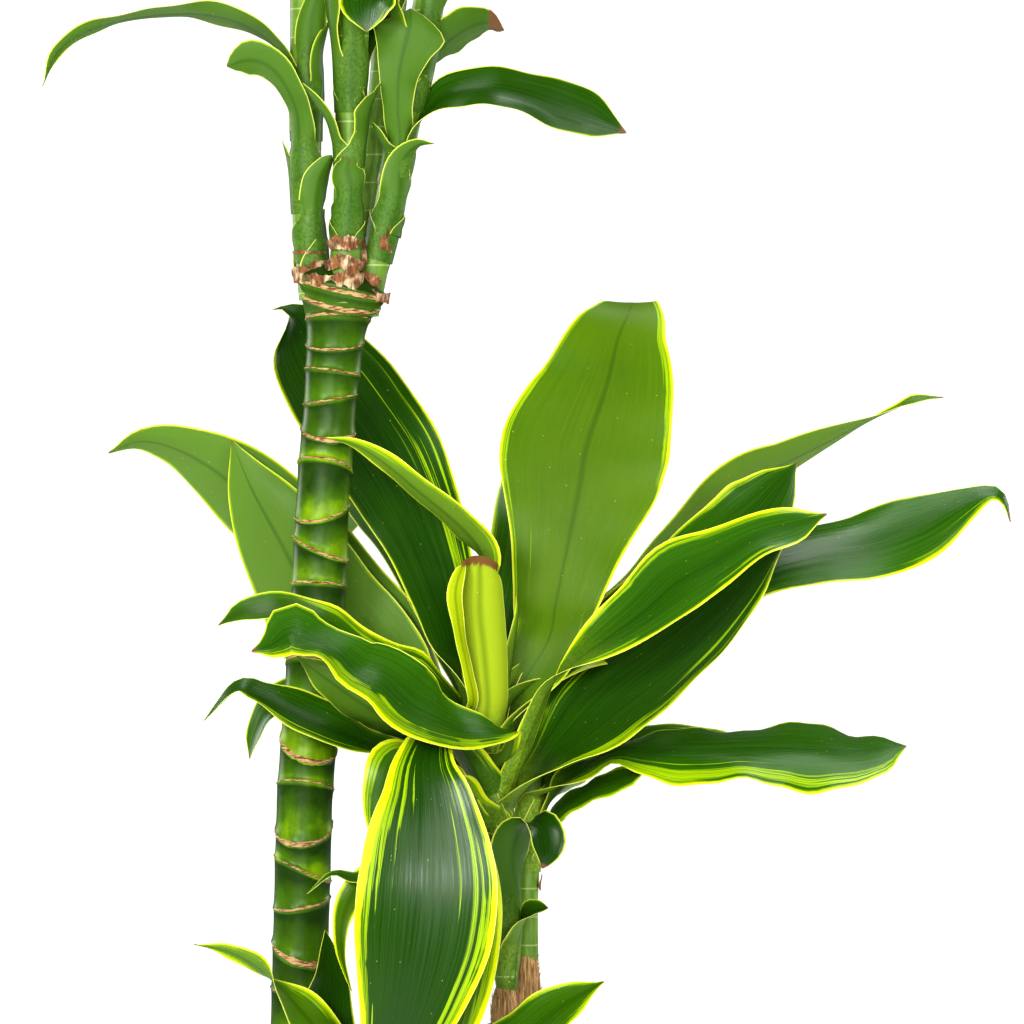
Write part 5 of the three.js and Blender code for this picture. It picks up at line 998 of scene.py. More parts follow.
# The underside is duller, and the sheath is mottled; both come before the rim, which shows on both.
# A negative light darkens both, partly as the leaf's own tone and partly as painted shade.
turned_over = add(tree, "Math", below_face, 0.6, operation="MULTIPLY")
under_tone_and_shade = add(tree, "Mix", deep_tone_and_shade, LEAF_UNDER, LEAF_GREEN, data_type="RGBA")
under = add(tree, "Mix", turned_over, striped, under_tone_and_shade, data_type="RGBA")
sheath_plain = add(tree, "Mix", pale_base, SHEATH_GREEN, SHEATH_LIME, data_type="RGBA")
dots = add(tree, "MapRange", speckle, 0.42, 0.62, 0, 0.5)
half_deep = add(tree, "Math", deep_tone_and_shade, 0.5, operation="MULTIPLY")
sheath_tone_and_shade = add(tree, "Mix", half_deep, sheath_plain, LEAF_GREEN, data_type="RGBA")
sheath_patch = add(tree, "MapRange", cloud, 0.46, 0.62, 0, 0.5)
patched = add(tree, "Mix", sheath_patch, sheath_tone_and_shade, LEAF_GREEN, data_type="RGBA")
sheath = add(tree, "Mix", dots, patched, LEAF_DARK, data_type="RGBA")
hidden = add(tree, "Math", clasp, 0.92, operation="MULTIPLY")
based = add(tree, "Mix", hidden, under, sheath, data_type="RGBA")

# The yellow rim wanders in width along each side of the leaf on its own, with a lime fringe inside.
which_side = add(tree, "Math", across, operation="SIGN")
edge_at = add(tree, "CombineXYZ", along_mm, which_side, seed)
edge_run = add(tree, "Mapping", edge_at, {"Scale": (1 / RIM_RUN, 3, 1)})
wander = add(tree, "TexNoise", edge_run, 1, 4, 0.55)
wander_by = add(tree, "MapRange", wander, 0.32, 0.68, 0.35, 1.6)
edge_width = add(tree, "Math", edge_mm, wander_by, operation="MULTIPLY")
thinned = add(tree, "MapRange", clasp, 0, 1, 1.0, 0.3)
edge_here = add(tree, "Math", edge_width, thinned, operation="MULTIPLY")
uneven = add(tree, "MapRange", fine, 0.3, 0.7, -0.4, 0.4)
yellow_width = add(tree, "Math", edge_here, 0.45, operation="MULTIPLY")
in_yellow = add(tree, "Math", yellow_width, rim_mm, operation="SUBTRACT")
past_yellow = add(tree, "Math", in_yellow, uneven, operation="ADD")
yellow_edge = add(tree, "MapRange", past_yellow, -0.5, 0.5)
lines_in = add(tree, "MapRange", broad, 0.3, 0.7, 0.3, 2.1)
lime_width = add(tree, "Math", edge_here, lines_in, operation="MULTIPLY")
in_lime = add(tree, "Math", lime_width, rim_mm, operation="SUBTRACT")
past_lime = add(tree, "Math", in_lime, uneven, operation="ADD")
lime_zone = add(tree, "MapRange", past_lime, -0.4, 0.9)
green_lines = add(tree, "MapRange", fine, 0.49, 0.54, 0.95, 0.2)
lime_edge = add(tree, "Math", lime_zone, green_lines, operation="MULTIPLY")
limed = add(tree, "Mix", lime_edge, based, LEAF_LIME, data_type="RGBA")
edged = add(tree, "Mix", yellow_edge, limed, LEAF_YELLOW, data_type="RGBA")
very_edge = add(tree, "MapRange", rim_mm, 0.6, 0.2, 0, 0.7)
rimmed = add(tree, "Mix", very_edge, edged, LEAF_RIM, data_type="RGBA")

# Midrib, dry tip and specks.
rib_near = add(tree, "Math", across_mm, operation="ABSOLUTE")
rib = add(tree, "MapRange", rib_near, 2.4, 0.3, 0, 0.42)
ribbed = add(tree, "Mix", rib, rimmed, LEAF_DARK, data_type="RGBA")
tip_at = add(tree, "Math", dry, -0.12, operation="MULTIPLY")
ragged = add(tree, "MapRange", fine, 0, 1, 0.97, 1.02)
tip_from = add(tree, "Math", tip_at, ragged, operation="ADD")
tip_past = add(tree, "Math", share, tip_from, operation="SUBTRACT")
dried = add(tree, "MapRange", tip_past, 0.0, 0.012)
browned = add(tree, "Mix", dried, ribbed, LEAF_DRY, data_type="RGBA")
speck_field = add(tree, "TexVoronoi", lines_at, 1 / SPECK_SPACING)
speck = add(tree, "MapRange", speck_field, 0.055, 0.035, 0, 0.45)
specked = add(tree, "Mix", speck, browned, LEAF_RIM, data_type="RGBA")

# A glossy cuticle above, duller below and on the sheath, with the veins as fine parallel ribs.
dull = add(tree, "Math", below_face, clasp, operation="MAXIMUM")
gloss = add(tree, "MapRange", dull, 0, 1, 0.25, 0.46)
patches = add(tree, "MapRange", broad, 0, 1, -0.1, 0.14)
matt = add(tree, "Math", light, 0.0, operation="MAXIMUM")
matter = add(tree, "Math", matt, 0.3, patches, operation="MULTIPLY_ADD")
streaky = add(tree, "MapRange", fine, 0.35, 0.65, -0.07, 0.09)
rougher = add(tree, "Math", gloss, matter, operation="ADD")
roughness = add(tree, "Math", rougher, streaky, operation="ADD")
glint = add(tree, "MapRange", matt, 0, 0.6, 0.26, 0.13)
vein_turn = add(tree, "Math", across_mm, 2 * math.pi / VEIN_SPACING, operation="MULTIPLY")
veins = add(tree, "Math", vein_turn, operation="SINE")
vein_relief = add(tree, "Bump", {"Height": veins, "Strength": 0.3, "Distance": 0.012 * MM})
fold_relief = add(tree, "Bump", {"Height": fine, "Strength": 0.4, "Distance": 0.08 * MM,
                                 "Normal": vein_relief})
pleat_relief = add(tree, "Bump", {"Height": broad, "Strength": 0.5, "Distance": 0.3 * MM,
                                  "Normal": fold_relief})
fill(shader, {"Base Color": specked, "Roughness": roughness, "Specular IOR Level": glint,
              "Normal": pleat_relief})

STEM_SIDES = 40
STEM_ROW = 3                  # between rings of points on a stem
STEM_JOINT = 14.2             # between the pale lines left by fallen leaves
STEM_STREAK = 1.9231
STEM_GREEN = "4A741C"
STEM_PALE = "7FA036"
STEM_LINE = "BFD08A"

# Young stem: fine upright lines in two greens, paler than the leaves, crossed by the thin pale lines of
# fallen leaves, which show how the shoot grew joint by joint.
stem_skin, tree, shader, here, plain = grained(
    "young_stem_skin", STEM_GREEN, STEM_PALE, STEM_STREAK, 4, 0.5, (0.2, 0.8), 0.3, 0.2, 0.15,
    Roughness=0.45, IOR=WAX_IOR)
up = add(tree, "SeparateXYZ", here).node.outputs["Z"]
joints_up = add(tree, "Math", up, 1 / (STEM_JOINT * MM), operation="MULTIPLY")
in_joint = add(tree, "Math", joints_up, 0.5, operation="PINGPONG")
joint_line = add(tree, "MapRange", in_joint, 0.035, 0.015, 0, 0.5)
fill(shader, {"Base Color": add(tree, "Mix", joint_line, plain, STEM_LINE, data_type="RGBA")})


def leafy_shoot(node, stem, leaves, seed):
    """A shoot as two pieces, its leaves and the round stem they clasp, in place of the CAD node."""
    blades = [leaf_blade(stem, leaf, seed + k) for k, leaf in enumerate(leaves)]
    attributes = {key: np.concatenate([blade[2][key] for blade in blades]) for key in blades[0][2]}
    points, faces = joined([blade[:2] for blade in blades])
    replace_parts(new_piece(node + "_leaves", points, faces, leaf_skin, "leaf", attributes), node)

    low, high = stem[0][2], stem[-1][2]
    hoops = [circle(*at_height(stem, z)[:2], z, at_height(stem, z)[3], round_angles(STEM_SIDES))
             for z in np.linspace(low, high, max(12, round((high - low) / STEM_ROW)))]
    points, faces = stacked(hoops, [stem[0][:3], (*stem[-1][:2], high + stem[-1][3] * 0.6)])
    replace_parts(new_piece(node + "_stem", points, faces, stem_skin, "leaf"), node)


leafy_shoot("middle_shoot", MIDDLE_STEM, list(MIDDLE_LEAVES.values()), 100)


# ---- Side shoot --------------------------------------------------------------------------------
# A thinner shoot from the bud at the back of the middle cane. Its one long leaf reaches out level to
# the right, and short ones stand behind and under it.
SIDE_STEM = (
    (58, 14, 450, 4.4), (58, 14, 462, 5.2), (57.6, 15, 490, 5.4), (58, 17, 512, 6), (58, 18, 545, 7),
    (61, 22, 584, 4),
)
SIDE_LEAVES = {
    "right_low": dict(foot=530, leave=544, turn=-20, half=29,
        widths=(10, 12, 19, 24, 24, 27, 28.5, 24, 14, 1.5), peak=0.6, base=0.34, tip=2.6, cup=-0.35,
        wave=2.5, waves=3.2, phase=0.33, edge=(1.2, 2.6), streak=(0.05, 0.95), light=0,
        path=[(76, 6, 551, -0.6, -0.3, 0.8), (100, 0, 566, -0.2, -0.5, 0.9), (119, -2, 567, 0, -0.55, 0.85),
              (144, -4, 567, 0, -0.55, 0.85), (164, -5, 568, 0, -0.55, 0.85),
              (184, -5, 568, 0, -0.55, 0.85), (204, -5, 567, 0, -0.55, 0.85),
              (224, -4, 566, 0, -0.55, 0.85), (239, -3, 568, 0, -0.6, 0.8), (247, -2, 569, 0, -0.6, 0.8)]),
    "low_right_a": dict(foot=515, leave=530, turn=30, half=15, peak=0.5, edge=(2.2, 2.2),
        streak=(0.3, 0.45), light=0.1,
        path=[(72, 22, 544, -0.6, 0.3, 0.7), (90, 24, 559, -0.6, 0.5, 0.7),
              (107, 24, 567, -0.3, 0.5, 0.8)]),
    "low_right_b": dict(foot=505, leave=520, turn=0, half=14, peak=0.5, cup=-0.2, edge=(2, 2.4),
        streak=(0.3, 0.45), light=0.1,
        path=[(72, 14, 536, -0.6, -0.2, 0.8), (92, 10, 548, -0.3, -0.5, 0.8), (118, 8, 557, 0, -0.5, 0.8)]),
    "side_back": dict(foot=512, leave=526, turn=80, half=20, edge=(0.9, 1.2),
        path=[(62, 48, 556, 0, -0.6, 0.7), (68, 90, 574, 0, -0.2, 1), (74, 130, 570, 0, 0.3, 1),
              (78, 165, 540, 0, 0.7, 0.7)]),
    "side_behind": dict(foot=526, leave=540, turn=25, half=15, edge=(0.7, 0.9),
        path=[(80, 34, 556, -0.5, -0.3, 0.8), (108, 44, 567, -0.2, -0.5, 0.8), (145, 48, 569, 0, -0.5, 0.8),
              (185, 48, 556, 0.2, -0.5, 0.8)]),
}
leafy_shoot("side_shoot", SIDE_STEM, list(SIDE_LEAVES.values()), 200)


# ---- Low shoot ---------------------------------------------------------------------------------
# The rosette on the low cane, in front: a ring of arching leaves, with young ones upright in it.
LOW_STEM = (
    (-6, -52, 322, 5), (-6, -52, 331, 5), (-6, -52, 332.5, 9), (-6, -54, 360, 10), (-6, -55, 415, 6),
)
LOW_LEAVES = {
    "low_left": dict(foot=355, leave=372, turn=190, half=15, peak=0.45, tip=1.3, edge=(2, 2.7),
        streak=(0.4, 0.6), light=0.3,
        path=[(-22, -60, 392, 0.6, -0.5, 0.4), (-42, -62, 427, 0.7, -0.6, 0.3),
              (-52, -62, 440, 0.7, -0.7, 0.3), (-64, -61, 453, 0.6, -0.1, 0.6),
              (-76, -60, 464, 0.3, 0.6, 0.7), (-90, -59, 471, 0.1, 0.6, 0.8),
              (-106, -58, 474, 0, 0.6, 0.8)]),
    "low_dark": dict(foot=360, leave=378, turn=160, half=15, peak=0.6, wave=1, edge=(0.7, 0.9),
        streak=(0.1, 0.15), light=-0.3,
        path=[(-24, -48, 394, 0.6, -0.7, 0.3), (-37, -46, 416, 0.5, -0.8, 0.2),
              (-42, -45, 437, 0.5, -0.8, 0.1), (-40, -44, 458, 0.5, -0.8, 0.1),
              (-42, -44, 480, 0.5, -0.8, 0.1)]),
    "low_right": dict(foot=360, leave=378, turn=-10, half=21, peak=0.6, edge=(1.9, 2.5), streak=(0.4, 0.6),
        light=0.1,
        path=[(12, -62, 394, -0.5, -0.3, 0.7), (34, -66, 411, -0.4, -0.6, 0.7),
              (58, -66, 430, -0.4, -0.6, 0.7), (76, -65, 445, -0.4, -0.6, 0.7),
              (95, -62, 456, -0.3, -0.5, 0.8)]),
    "low_front": dict(foot=333, leave=341, turn=-90, half=22, edge=(1, 1.3),
        path=[(-6, -84, 350, 0, 0.2, 1), (-8, -122, 368, 0, 0.1, 1), (-10, -168, 366, 0, -0.4, 0.9),
              (-12, -208, 338, 0, -0.8, 0.5)]),
    "low_front_left": dict(foot=338, leave=352, turn=-140, half=22, edge=(1, 1.3),
        path=[(-36, -84, 384, 0.5, 0.4, 0.7), (-74, -114, 402, 0, 0, 1), (-112, -142, 388, -0.4, -0.4, 0.8),
              (-140, -160, 350, -0.6, -0.5, 0.5)]),
    "low_front_right": dict(foot=340, leave=354, turn=-45, half=22, edge=(1, 1.3),
        path=[(20, -82, 384, -0.5, 0.4, 0.7), (58, -114, 402, 0, 0, 1), (98, -142, 390, 0.4, -0.4, 0.8),
              (128, -160, 350, 0.6, -0.5, 0.5)]),
    "low_far_left": dict(foot=335, leave=348, turn=178, half=20, edge=(0.9, 1.2),
        path=[(-44, -60, 368, 0.5, -0.2, 0.8), (-88, -68, 380, 0, -0.2, 1),
              (-128, -74, 362, -0.4, -0.2, 0.8), (-154, -78, 322, -0.7, -0.2, 0.5)]),
    "low_far_right": dict(foot=332, leave=345, turn=-8, half=20, edge=(0.9, 1.2),
        path=[(34, -62, 366, -0.5, -0.2, 0.8), (76, -68, 378, 0, -0.2, 1), (116, -72, 360, 0.4, -0.2, 0.8),
              (142, -76, 318, 0.7, -0.2, 0.5)]),
}
leafy_shoot("low_shoot", LOW_STEM, list(LOW_LEAVES.values()), 300)


# ---- The four shoots of the fork ---------------------------------------------------------------
# Slim stems wrapped in the sheaths of their leaves, short cut or dried leaves low down and a crown of
# long arching ones at the top. Short strips stand in the gaps between their stems.
# FORK_LOOK's light of -0.2 is painted shade on the sheaths and low leaves crowded round the fork's stems.
FORK_LOOK = dict(edge=(0.6, 0.7), streak=(0.05, 0.1), light=-0.2, pale=0.15)
CROWN_LOOK = dict(edge=(2, 2.2), streak=(0.25, 0.3), light=0, pale=0.15)
# a crown leaf: foot, turn, length, half, lift and droop, the last two being angles in degrees
LEFT_STEM = (
    (-49, 4, 792, 7.6), (-50, 4, 806, 7.8), (-52, 4, 822, 7.6), (-53, 3, 852, 7.4),
    (-53, 2, 900, 8), (-53, 0, 942, 8), (-57, -2, 990, 7.5), (-64, -4, 1040, 5),
)
LEFT_LEAVES = {
    "a_curl": dict(foot=845, leave=868, turn=-110, half=13, widths=(8.3, 9, 10, 10.5, 8.5), peak=0.6,
        base=0.75, tip=4, cup=0.5, round=0.12, wave=1,
        path=[(-57, -8, 885, 0.7, 0.7, 0.1), (-63, -11, 899, 0.5, 0.8, 0.3), (-71, -13, 908, 0.3, 0.8, 0.5),
              (-81, -14, 911, 0, 0.8, 0.6), (-92, -14, 908, -0.3, 0.8, 0.5)]),
    "a_long": dict(foot=880, leave=899, turn=190, half=11, peak=0.5, base=0.6, tip=1.5,
        path=[(-66, 0, 916, 0.7, 0.2, 0.6), (-81, -3, 928, 0.3, 0.3, 0.9), (-101, -5, 934, 0, 0.3, 1),
              (-126, -7, 934, 0, 0.3, 1), (-156, -9, 928, -0.2, 0.3, 0.9), (-176, -10, 916, -0.5, 0.3, 0.8),
              (-184, -10, 898, -0.9, 0.3, 0.2)]),
    "a_right": dict(foot=880, leave=898, turn=-20, half=9, cup=0.8, wave=0,
        path=[(-45, -5, 915, -1, 0.3, 0), (-41, -4, 932, -1, 0.3, 0)]),
    "a_low": dict(foot=811, leave=835, turn=-60, half=11, widths=(9, 3), peak=0.4, base=0.95, cup=1, wave=0,
        path=[(-46, -5, 852, -0.5, 0.8, 0.1), (-40, -7, 864, -0.5, 0.8, 0.2)]),
    "a_tip": dict(foot=835, leave=855, turn=180, half=8, peak=0.3, base=0.9, cup=1, wave=0,
        path=[(-63, 4, 864, 1, 0, 0), (-65, 4, 872, 1, 0, 0)]),
    "a_cloth": dict(foot=871, leave=912, turn=-75, half=9, widths=(9, 6, 2), cup=1, wave=0, edge=(1, 1),
        streak=(0, 0),
        path=[(-50, -10, 930, 0, 1, 0.1), (-47, -12, 944, 0, 1, 0.1), (-45, -13, 956, 0, 1, 0.1)]),
    "a_foot": dict(foot=809, leave=827, turn=28, half=8, widths=(8, 4), cup=1.2, wave=0, edge=(0.6, 0.6),
        streak=(0, 0), over=0.8,
        path=[(-44.7, 7.7, 833, -0.88, -0.47, 0), (-44.2, 8, 838, -0.88, -0.47, 0)]),
}
LEFT_CROWN = (
    (945, 205, 240, 22, 62, 30), (962, 140, 240, 22, 66, 30), (978, 234, 220, 21, 68, 30),
    (992, 172, 210, 20, 74, 30), (1006, 208, 180, 18, 80, 10), (1018, 150, 130, 14, 86, -40),
)
FRONT_STEM = (
    (-34, -6, 790, 7.6), (-33.5, -6, 806, 7.8), (-32, -6, 832, 7.4),
    (-31, -7, 872, 7.2), (-30, -9, 912, 8), (-28, -13, 945, 8), (-24, -22, 990, 7.5),
    (-20, -32, 1030, 5),
)
FRONT_LEAVES = {
    "b_small": dict(foot=855, leave=868, turn=200, half=9, base=0.9, cup=0.7, wave=0,
        path=[(-42, -16, 880, 0.9, 0.3, 0), (-47, -20, 888, 0.9, 0.3, 0.3),
              (-54, -23, 899, 0.9, 0.3, 0.4)]),
    "b_right": dict(foot=856, leave=868, turn=-20, half=10, base=0.9, cup=0.7, wave=1,
        path=[(-21, -10, 886, -0.9, 0.3, 0), (-15, -12, 900, -0.9, 0.3, 0.2)]),
    "b_flat": dict(foot=817, leave=846, turn=-80, half=10, peak=0.6, base=0.95, tip=6, end=0.5, cup=0.9,
        wave=0,
        path=[(-32, -15, 856, 0, 1, 0), (-31, -16, 861, 0, 1, 0)]),
    "b_tall": dict(foot=885, leave=905, turn=200, half=11, cup=0.4,
        path=[(-40, -16, 925, 0.9, 0.3, 0.1), (-44, -22, 962, 0.9, 0.3, 0.2),
              (-56, -30, 1002, 0.8, 0.3, 0.4), (-72, -36, 1040, 0.8, 0.3, 0.5)]),
    "b_back": dict(foot=888, leave=904, turn=75, half=16, wave=1,
        path=[(-24, 4, 924, 0, -1, 0.1), (-20, 6, 945, 0, -1, 0.1), (-12, 10, 985, 0, -1, 0.2),
              (-6, 20, 1025, 0, -1, 0.4), (0, 40, 1055, 0, -0.8, 0.7)]),
    "b_foot": dict(foot=821, leave=835, turn=90, half=8, widths=(8, 4), cup=1.2, wave=0, edge=(0.6, 0.6),
        streak=(0, 0), over=0.8,
        path=[(-31.7, 2.6, 841, 0, -1, 0), (-31.7, 3.2, 846, 0, -1, 0)]),
    "b_cloth": dict(foot=886, leave=922, turn=-85, half=9, widths=(9, 7, 2), cup=1, wave=0, edge=(1, 1),
        streak=(0, 0),
        path=[(-28, -23, 940, 0, 1, 0.2), (-26, -27, 955, 0, 1, 0.2), (-24, -30, 968, 0, 1, 0.2)]),
    "b_neck": dict(foot=868, leave=880, turn=100, half=8, widths=(8, 4), cup=1.2, wave=0, edge=(0.6, 0.6),
        streak=(0, 0), light=0.3, pale=0.9,
        path=[(-32, 1, 890, 0, -1, 0), (-32, 2, 898, 0, -1, 0)]),
}
FRONT_CROWN = (
    (950, 268, 230, 22, 60, 30), (966, 300, 230, 22, 66, 30), (980, 258, 200, 20, 72, 30),
    (994, 284, 170, 18, 80, 10), (1006, 250, 120, 14, 86, -40),
)
RIGHT_STEM = (
    (-24, 5, 784, 7.2), (-20, 5, 805.5, 7.7), (-14.5, 5, 822, 7.4),
    (-9.5, 6, 852, 7.4), (-3, 7, 882, 7.4), (3, 8, 912, 8), (9, 8, 945, 8), (19, 8, 990, 7.5),
    (30, 8, 1030, 5),
)
RIGHT_LEAVES = {
    "d_broad": dict(foot=850, leave=868, turn=-90, half=20, widths=(7.5, 10, 14.5, 20, 17, 8), peak=0.78,
        base=0.4, tip=3, cup=0.45, round=0.14, swell=1.8, wave=1.6, waves=3,
        path=[(-7, -6, 887, 0, 1, 0), (-6.5, -9, 903, 0, 1, 0), (-4, -11, 916, 0, 1, 0),
              (-1.5, -12, 925, 0, 1, 0), (-0.6, -11, 932, 0, 1, -0.2), (-0.6, -9, 937, 0, 1, -0.4)]),
    "d_low": dict(foot=811, leave=842, turn=-60, half=11, peak=0.4, base=0.9, cup=0.8, wave=0,
        path=[(-5, -1, 860, -0.5, 0.8, 0.1), (2, -3, 869, -0.4, 0.6, 0.6), (11, -4, 870, 0, 0.4, 0.9)]),
    "d_left": dict(foot=850, leave=866, turn=-150, half=8, peak=0.4, base=0.9, cup=0.8, wave=0,
        path=[(-17, -2, 874, 0.9, 0.4, 0), (-20, -3, 881, 0.9, 0.4, 0)]),
    "d_long": dict(foot=848, leave=864, turn=-10, half=19, peak=0.76, base=0.38, tip=1.8, dry=0.2,
        path=[(2, 1, 878, -0.9, -0.2, 0.4), (9, 0, 888, -0.7, -0.4, 0.6), (20, -2, 895, -0.3, -0.6, 0.7),
              (35, -4, 897, 0, -0.7, 0.7), (51, -6, 895, 0.1, -0.7, 0.7), (71, -8, 888, 0.2, -0.7, 0.7),
              (88, -9, 882, 0.2, -0.7, 0.7), (107, -9, 875, 0.4, -0.7, 0.5)]),
    "e_brown": dict(foot=885, leave=905, turn=20, half=15, peak=0.7, tip=3, dry=1,
        path=[(14, 14, 918, -0.7, 0.4, 0.5), (24, 16, 927, -0.4, 0.5, 0.8), (36, 16, 932, 0, 0.5, 0.8),
              (46, 14, 928, 0.5, 0.4, 0.8)]),
    "d_foot": dict(foot=824, leave=839, turn=85, half=8, widths=(8, 4), cup=1.2, wave=0, edge=(0.6, 0.6),
        streak=(0, 0), over=0.8,
        path=[(-10, 14.7, 845, 0, -1, 0), (-9.6, 15.3, 850, 0, -1, 0)]),
    "d_cloth": dict(foot=900, leave=935, turn=-70, half=9, widths=(9, 7, 2), cup=1, wave=0, edge=(1, 1),
        streak=(0, 0),
        path=[(13, -1, 950, 0, 1, 0.2), (18, -2, 965, 0, 1, 0.2), (22, -3, 976, 0, 1, 0.2)]),
    "d_fold": dict(foot=892, leave=905, turn=-130, half=15, widths=(8, 11, 15, 15, 9, 2), cup=0.3, wave=1.4,
        waves=2.5, edge=(1.6, 1.6), streak=(0.1, 0.1),
        path=[(-8, -6, 925, 0.5, 0.6, 0.3), (-14, -12, 943, 0.2, -0.1, 1), (-19, -20, 945, -0.1, -0.6, 0.8),
              (-22, -24, 938, -0.1, -0.9, 0.3), (-22, -25, 930, -0.1, -1, 0),
              (-22, -25, 924, -0.1, -1, 0)]),
}
RIGHT_CROWN = (
    (948, 332, 250, 23, 60, 30), (962, 20, 250, 23, 64, 30), (976, 306, 220, 21, 68, 30),
    (988, 355, 210, 20, 74, 30), (1000, 38, 180, 18, 80, 10), (1012, 320, 130, 14, 86, -40),
)
BACK_STEM = (
    (-28, 20, 790, 7), (-27.5, 21, 806, 7.2), (-22, 25, 830, 7), (-18, 30, 870, 7),
    (-14, 38, 912, 7.5), (-12, 46, 945, 7.5), (-11, 58, 1000, 7), (-11, 70, 1050, 5),
)
BACK_CROWN = (
    (935, 100, 240, 23, 55, 30), (955, 55, 240, 23, 62, 30), (975, 116, 220, 21, 68, 30),
    (995, 78, 200, 20, 74, 30), (1015, 100, 170, 18, 82, 0), (1028, 60, 120, 14, 86, -40),
)


def arched(stem, foot, turn, length, half, lift, droop):
    """A crown leaf that leaves its stem steeply and arches over in one plane."""
    clasp, steps = 18, 5
    across = across_at(turn)
    x, y, _, radius = at_height(stem, foot + clasp)
    at = np.array([x + (radius + 1) * across[0], y + (radius + 1) * across[1], foot + clasp])
    path = []
    for k in range(steps):
        rise = math.radians(lift - (lift + droop) * k / (steps - 1))
        look = math.radians(lift - (lift + droop) * (k + 0.5) / (steps - 1))
        at = at + length / steps * np.array([*(math.cos(rise) * across), math.sin(rise)])
        path.append((*at, *(-math.sin(look) * across), math.cos(look)))
    return CROWN_LOOK | dict(foot=foot, leave=foot + clasp, turn=turn, half=half, path=path)


for name, stem, leaves, crown, seed in (
        ("left", LEFT_STEM, LEFT_LEAVES, LEFT_CROWN, 400),
        ("front", FRONT_STEM, FRONT_LEAVES, FRONT_CROWN, 500),
        ("right", RIGHT_STEM, RIGHT_LEAVES, RIGHT_CROWN, 600),
        ("back", BACK_STEM, {}, BACK_CROWN, 700)):
    grown = [FORK_LOOK | leaf for leaf in leaves.values()]
    grown += [arched(stem, *leaf) for leaf in crown]
    leafy_shoot("tall_shoot_" + name, stem, grown, seed)


# ---- Dry collars -------------------------------------------------------------------------------
# What is left of the oldest leaf bases: brown paper-thin bands torn off round the feet of the stems,
# still held at the scar that they grew from. They are brittle, curled outwards and split.
DRY_COLLARS = (               # x, y, radius, height, width, first angle, turn, seed
    (-49.8, 4, 9.2, 803, 12, 165, 230, 1), (-50.2, 4, 9.6, 808, 9, 265, 95, 2),
    (-50.2, 4, 9.1, 815.5, 2.4, 170, 150, 3), (-33.6, -6, 9.2, 801, 11, 175, 225, 4),
    (-33.4, -6, 9.6, 809, 9, 190, 160, 5), (-33.2, -6, 9.1, 819.5, 10, 205, 120, 6),
    (-22.4, 4, 10.6, 793, 8, 200, 190, 7), (-19.4, 5, 9.4, 814, 20, 222, 30, 8),
    (-18.6, 5, 9.4, 820, 15, 285, 70, 9), (-20.6, 5, 9.4, 801, 11, 225, 75, 10),
    (-27.4, 21, 8.6, 812, 8, 190, 200, 11), (58.0, 15.6, 6.2, 499, 9, -35, 60, 12),
    (-41, -1, 12.4, 802, 8, 200, 105, 14),
)
PAPER_THICK = 0.35
PAPER_ROWS = 5
PAPER_STEP = 2.5              # degrees between the columns of points of a band
PAPER_FIBRE = 1.6
PAPER_BLOTCH = 6
PAPER_TAN = "DCC29A"
PAPER_BROWN = "8A5A33"
PAPER_DARK = "452B18"

# Dead, dull paper against fresh green: blotched tan and brown, with dark fibres that run along the old
# leaf base and make the torn edges look brittle.
paper, tree, shader, here = new_finish("dry_leaf_paper", Roughness=0.88)
drawn_out = add(tree, "Mapping", here, {"Scale": (1, 1, 0.3)})
fibres = add(tree, "TexNoise", drawn_out, 1 / (PAPER_FIBRE * MM), 5)
blotch = add(tree, "TexNoise", here, 1 / (PAPER_BLOTCH * MM), 3)
tan_share = add(tree, "MapRange", blotch, 0.5, 0.66)
dark_share = add(tree, "MapRange", fibres, 0.55, 0.4, 0, 0.75)
coloured = add(tree, "Mix", tan_share, PAPER_BROWN, PAPER_TAN, data_type="RGBA")
coloured = add(tree, "Mix", dark_share, coloured, PAPER_DARK, data_type="RGBA")
relief = add(tree, "Bump", {"Height": fibres, "Strength": 0.8, "Distance": 0.4 * MM})
fill(shader, {"Base Color": coloured, "Normal": relief})


def torn_band(x, y, radius, z, width, first, turn, seed):
    """Points and faces of a thin band round a stem, torn along both edges and thinner at its ends."""
    draw = np.random.default_rng(seed)
    columns = max(20, round(turn / PAPER_STEP))
    angles = np.radians(first + turn * np.linspace(0, 1, columns + 1))
    ends = np.sin(math.pi * np.linspace(0.02, 0.98, columns + 1)) ** 0.35
    tear = [ripples(draw, angles, 0.4, 1.0, (2, 4, 7, 13, 31), 0.4) / 2.4 for _ in range(3)]
    top = width * np.clip(0.42 + 0.4 * tear[0], 0.04, 1) * ends
    foot = -width * np.clip(0.3 + 0.25 * tear[1], 0.04, 0.6) * ends
    walls = []
    for out in (PAPER_THICK, 0):
        rows = [circle(x, y, z + foot + (top - foot) * v,
                       radius + out + (0.8 * v * v + 0.4 * tear[2] * v) * (0.4 + 0.06 * width), angles)
                for v in np.linspace(0, 1, PAPER_ROWS + 1)]
        walls.append(np.stack(rows, 1))
    return slab(*walls)


new_piece("dry_collars", *joined([torn_band(*band) for band in DRY_COLLARS]), paper, "woody_cane")


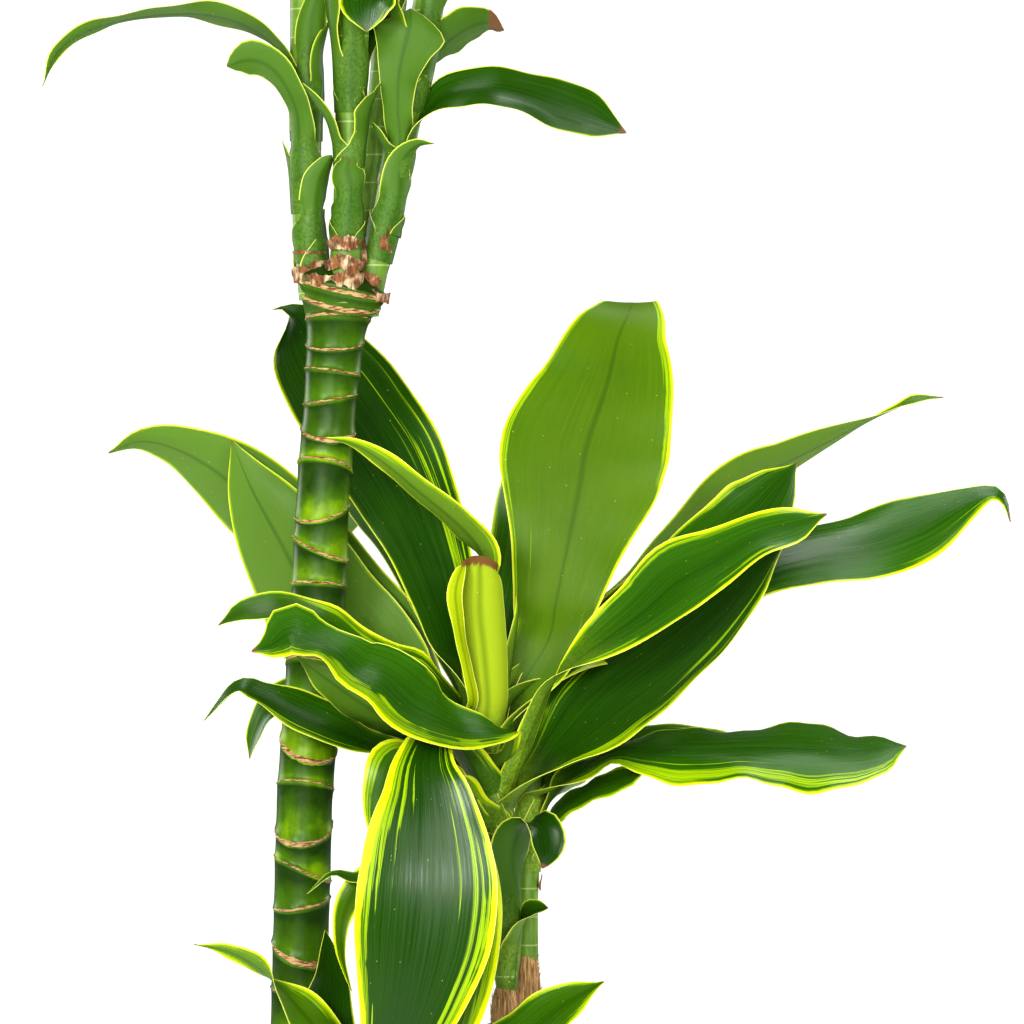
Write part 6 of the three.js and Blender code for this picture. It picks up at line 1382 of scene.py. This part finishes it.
# ---- Studio ------------------------------------------------------------------------------------
# A pale floor and a white surround, with large soft lamps above, in front and behind on both sides.
CAMERA_AT = (0.05, -3.0, 0.686)
FRAME_WIDTH = 0.512           # width that the picture shows at the canes
SENSOR = 36
SURROUND_LIGHT = 0.17         # how much of the white surround reaches the plant
FLOOR_RADIUS = 1700
FLOOR_SIDES = 64
FLOOR_GLOW = 0.3              # lifts the floor so that its edge doesn't show against the surround
FLOOR_PALE = "EDEDEB"
WHITE = (1, 1, 1, 1)
LAMPS = (                     # name, place and aim in metres, width and depth in metres, watts
    ("above", (0.1, 0.2, 2.7), (0, 0, 0.6), (1.8, 1.8), 47),
    ("front_left", (-1.4, -2.6, 1.6), (0, 0, 0.7), (0.8, 0.8), 52),
    ("front_right", (1.6, -2.4, 1.4), (0, 0, 0.7), (0.8, 0.8), 27),
    ("front", (-0.25, -2.95, 1.06), (0, 0, 0.5), (1.5, 0.34), 42),
    ("back_left", (-2.0, 1.4, 1.2), (0, 0, 0.7), (1.2, 1.2), 22),
    ("back_right", (2.0, 1.4, 1.2), (0, 0, 0.7), (1.2, 1.2), 22),
)

floor_finish = new_finish("pale_floor", Roughness=0.8, Base_Color=FLOOR_PALE, Emission_Color=WHITE,
                          Emission_Strength=FLOOR_GLOW)[0]
floor = new_object("floor", circle(0, 0, 0, FLOOR_RADIUS, round_angles(FLOOR_SIDES)), [range(FLOOR_SIDES)])
floor.data.materials.append(floor_finish)

scene = bpy.context.scene
world = bpy.data.worlds.new("white_surround")
world.use_nodes = True
tree = world.node_tree
seen = add(tree, "LightPath").node.outputs["Is Camera Ray"]
strength = add(tree, "MapRange", seen, 0, 1, SURROUND_LIGHT, 1)
fill(tree.nodes["Background"], {"Color": WHITE, "Strength": strength})
scene.world = world
scene.view_settings.view_transform = "Standard"
scene.view_settings.look = "Medium High Contrast"

for name, place, aim, size, power in LAMPS:
    lamp = bpy.data.lights.new(name, "AREA")
    lamp.shape = "RECTANGLE"
    lamp.size, lamp.size_y = size
    lamp.energy = power
    light = bpy.data.objects.new(name, lamp)
    light.location = place
    light.rotation_euler = Vector(np.subtract(aim, place)).to_track_quat("-Z", "Y").to_euler()
    scene.collection.objects.link(light)

camera_data = bpy.data.cameras.new("camera")
camera_data.sensor_width = SENSOR
camera_data.lens = SENSOR * -CAMERA_AT[1] / FRAME_WIDTH
camera_data.clip_end = 50
camera = bpy.data.objects.new("camera", camera_data)
camera.location = CAMERA_AT
camera.rotation_euler = (math.pi / 2, 0, 0)
scene.collection.objects.link(camera)
scene.camera = camera
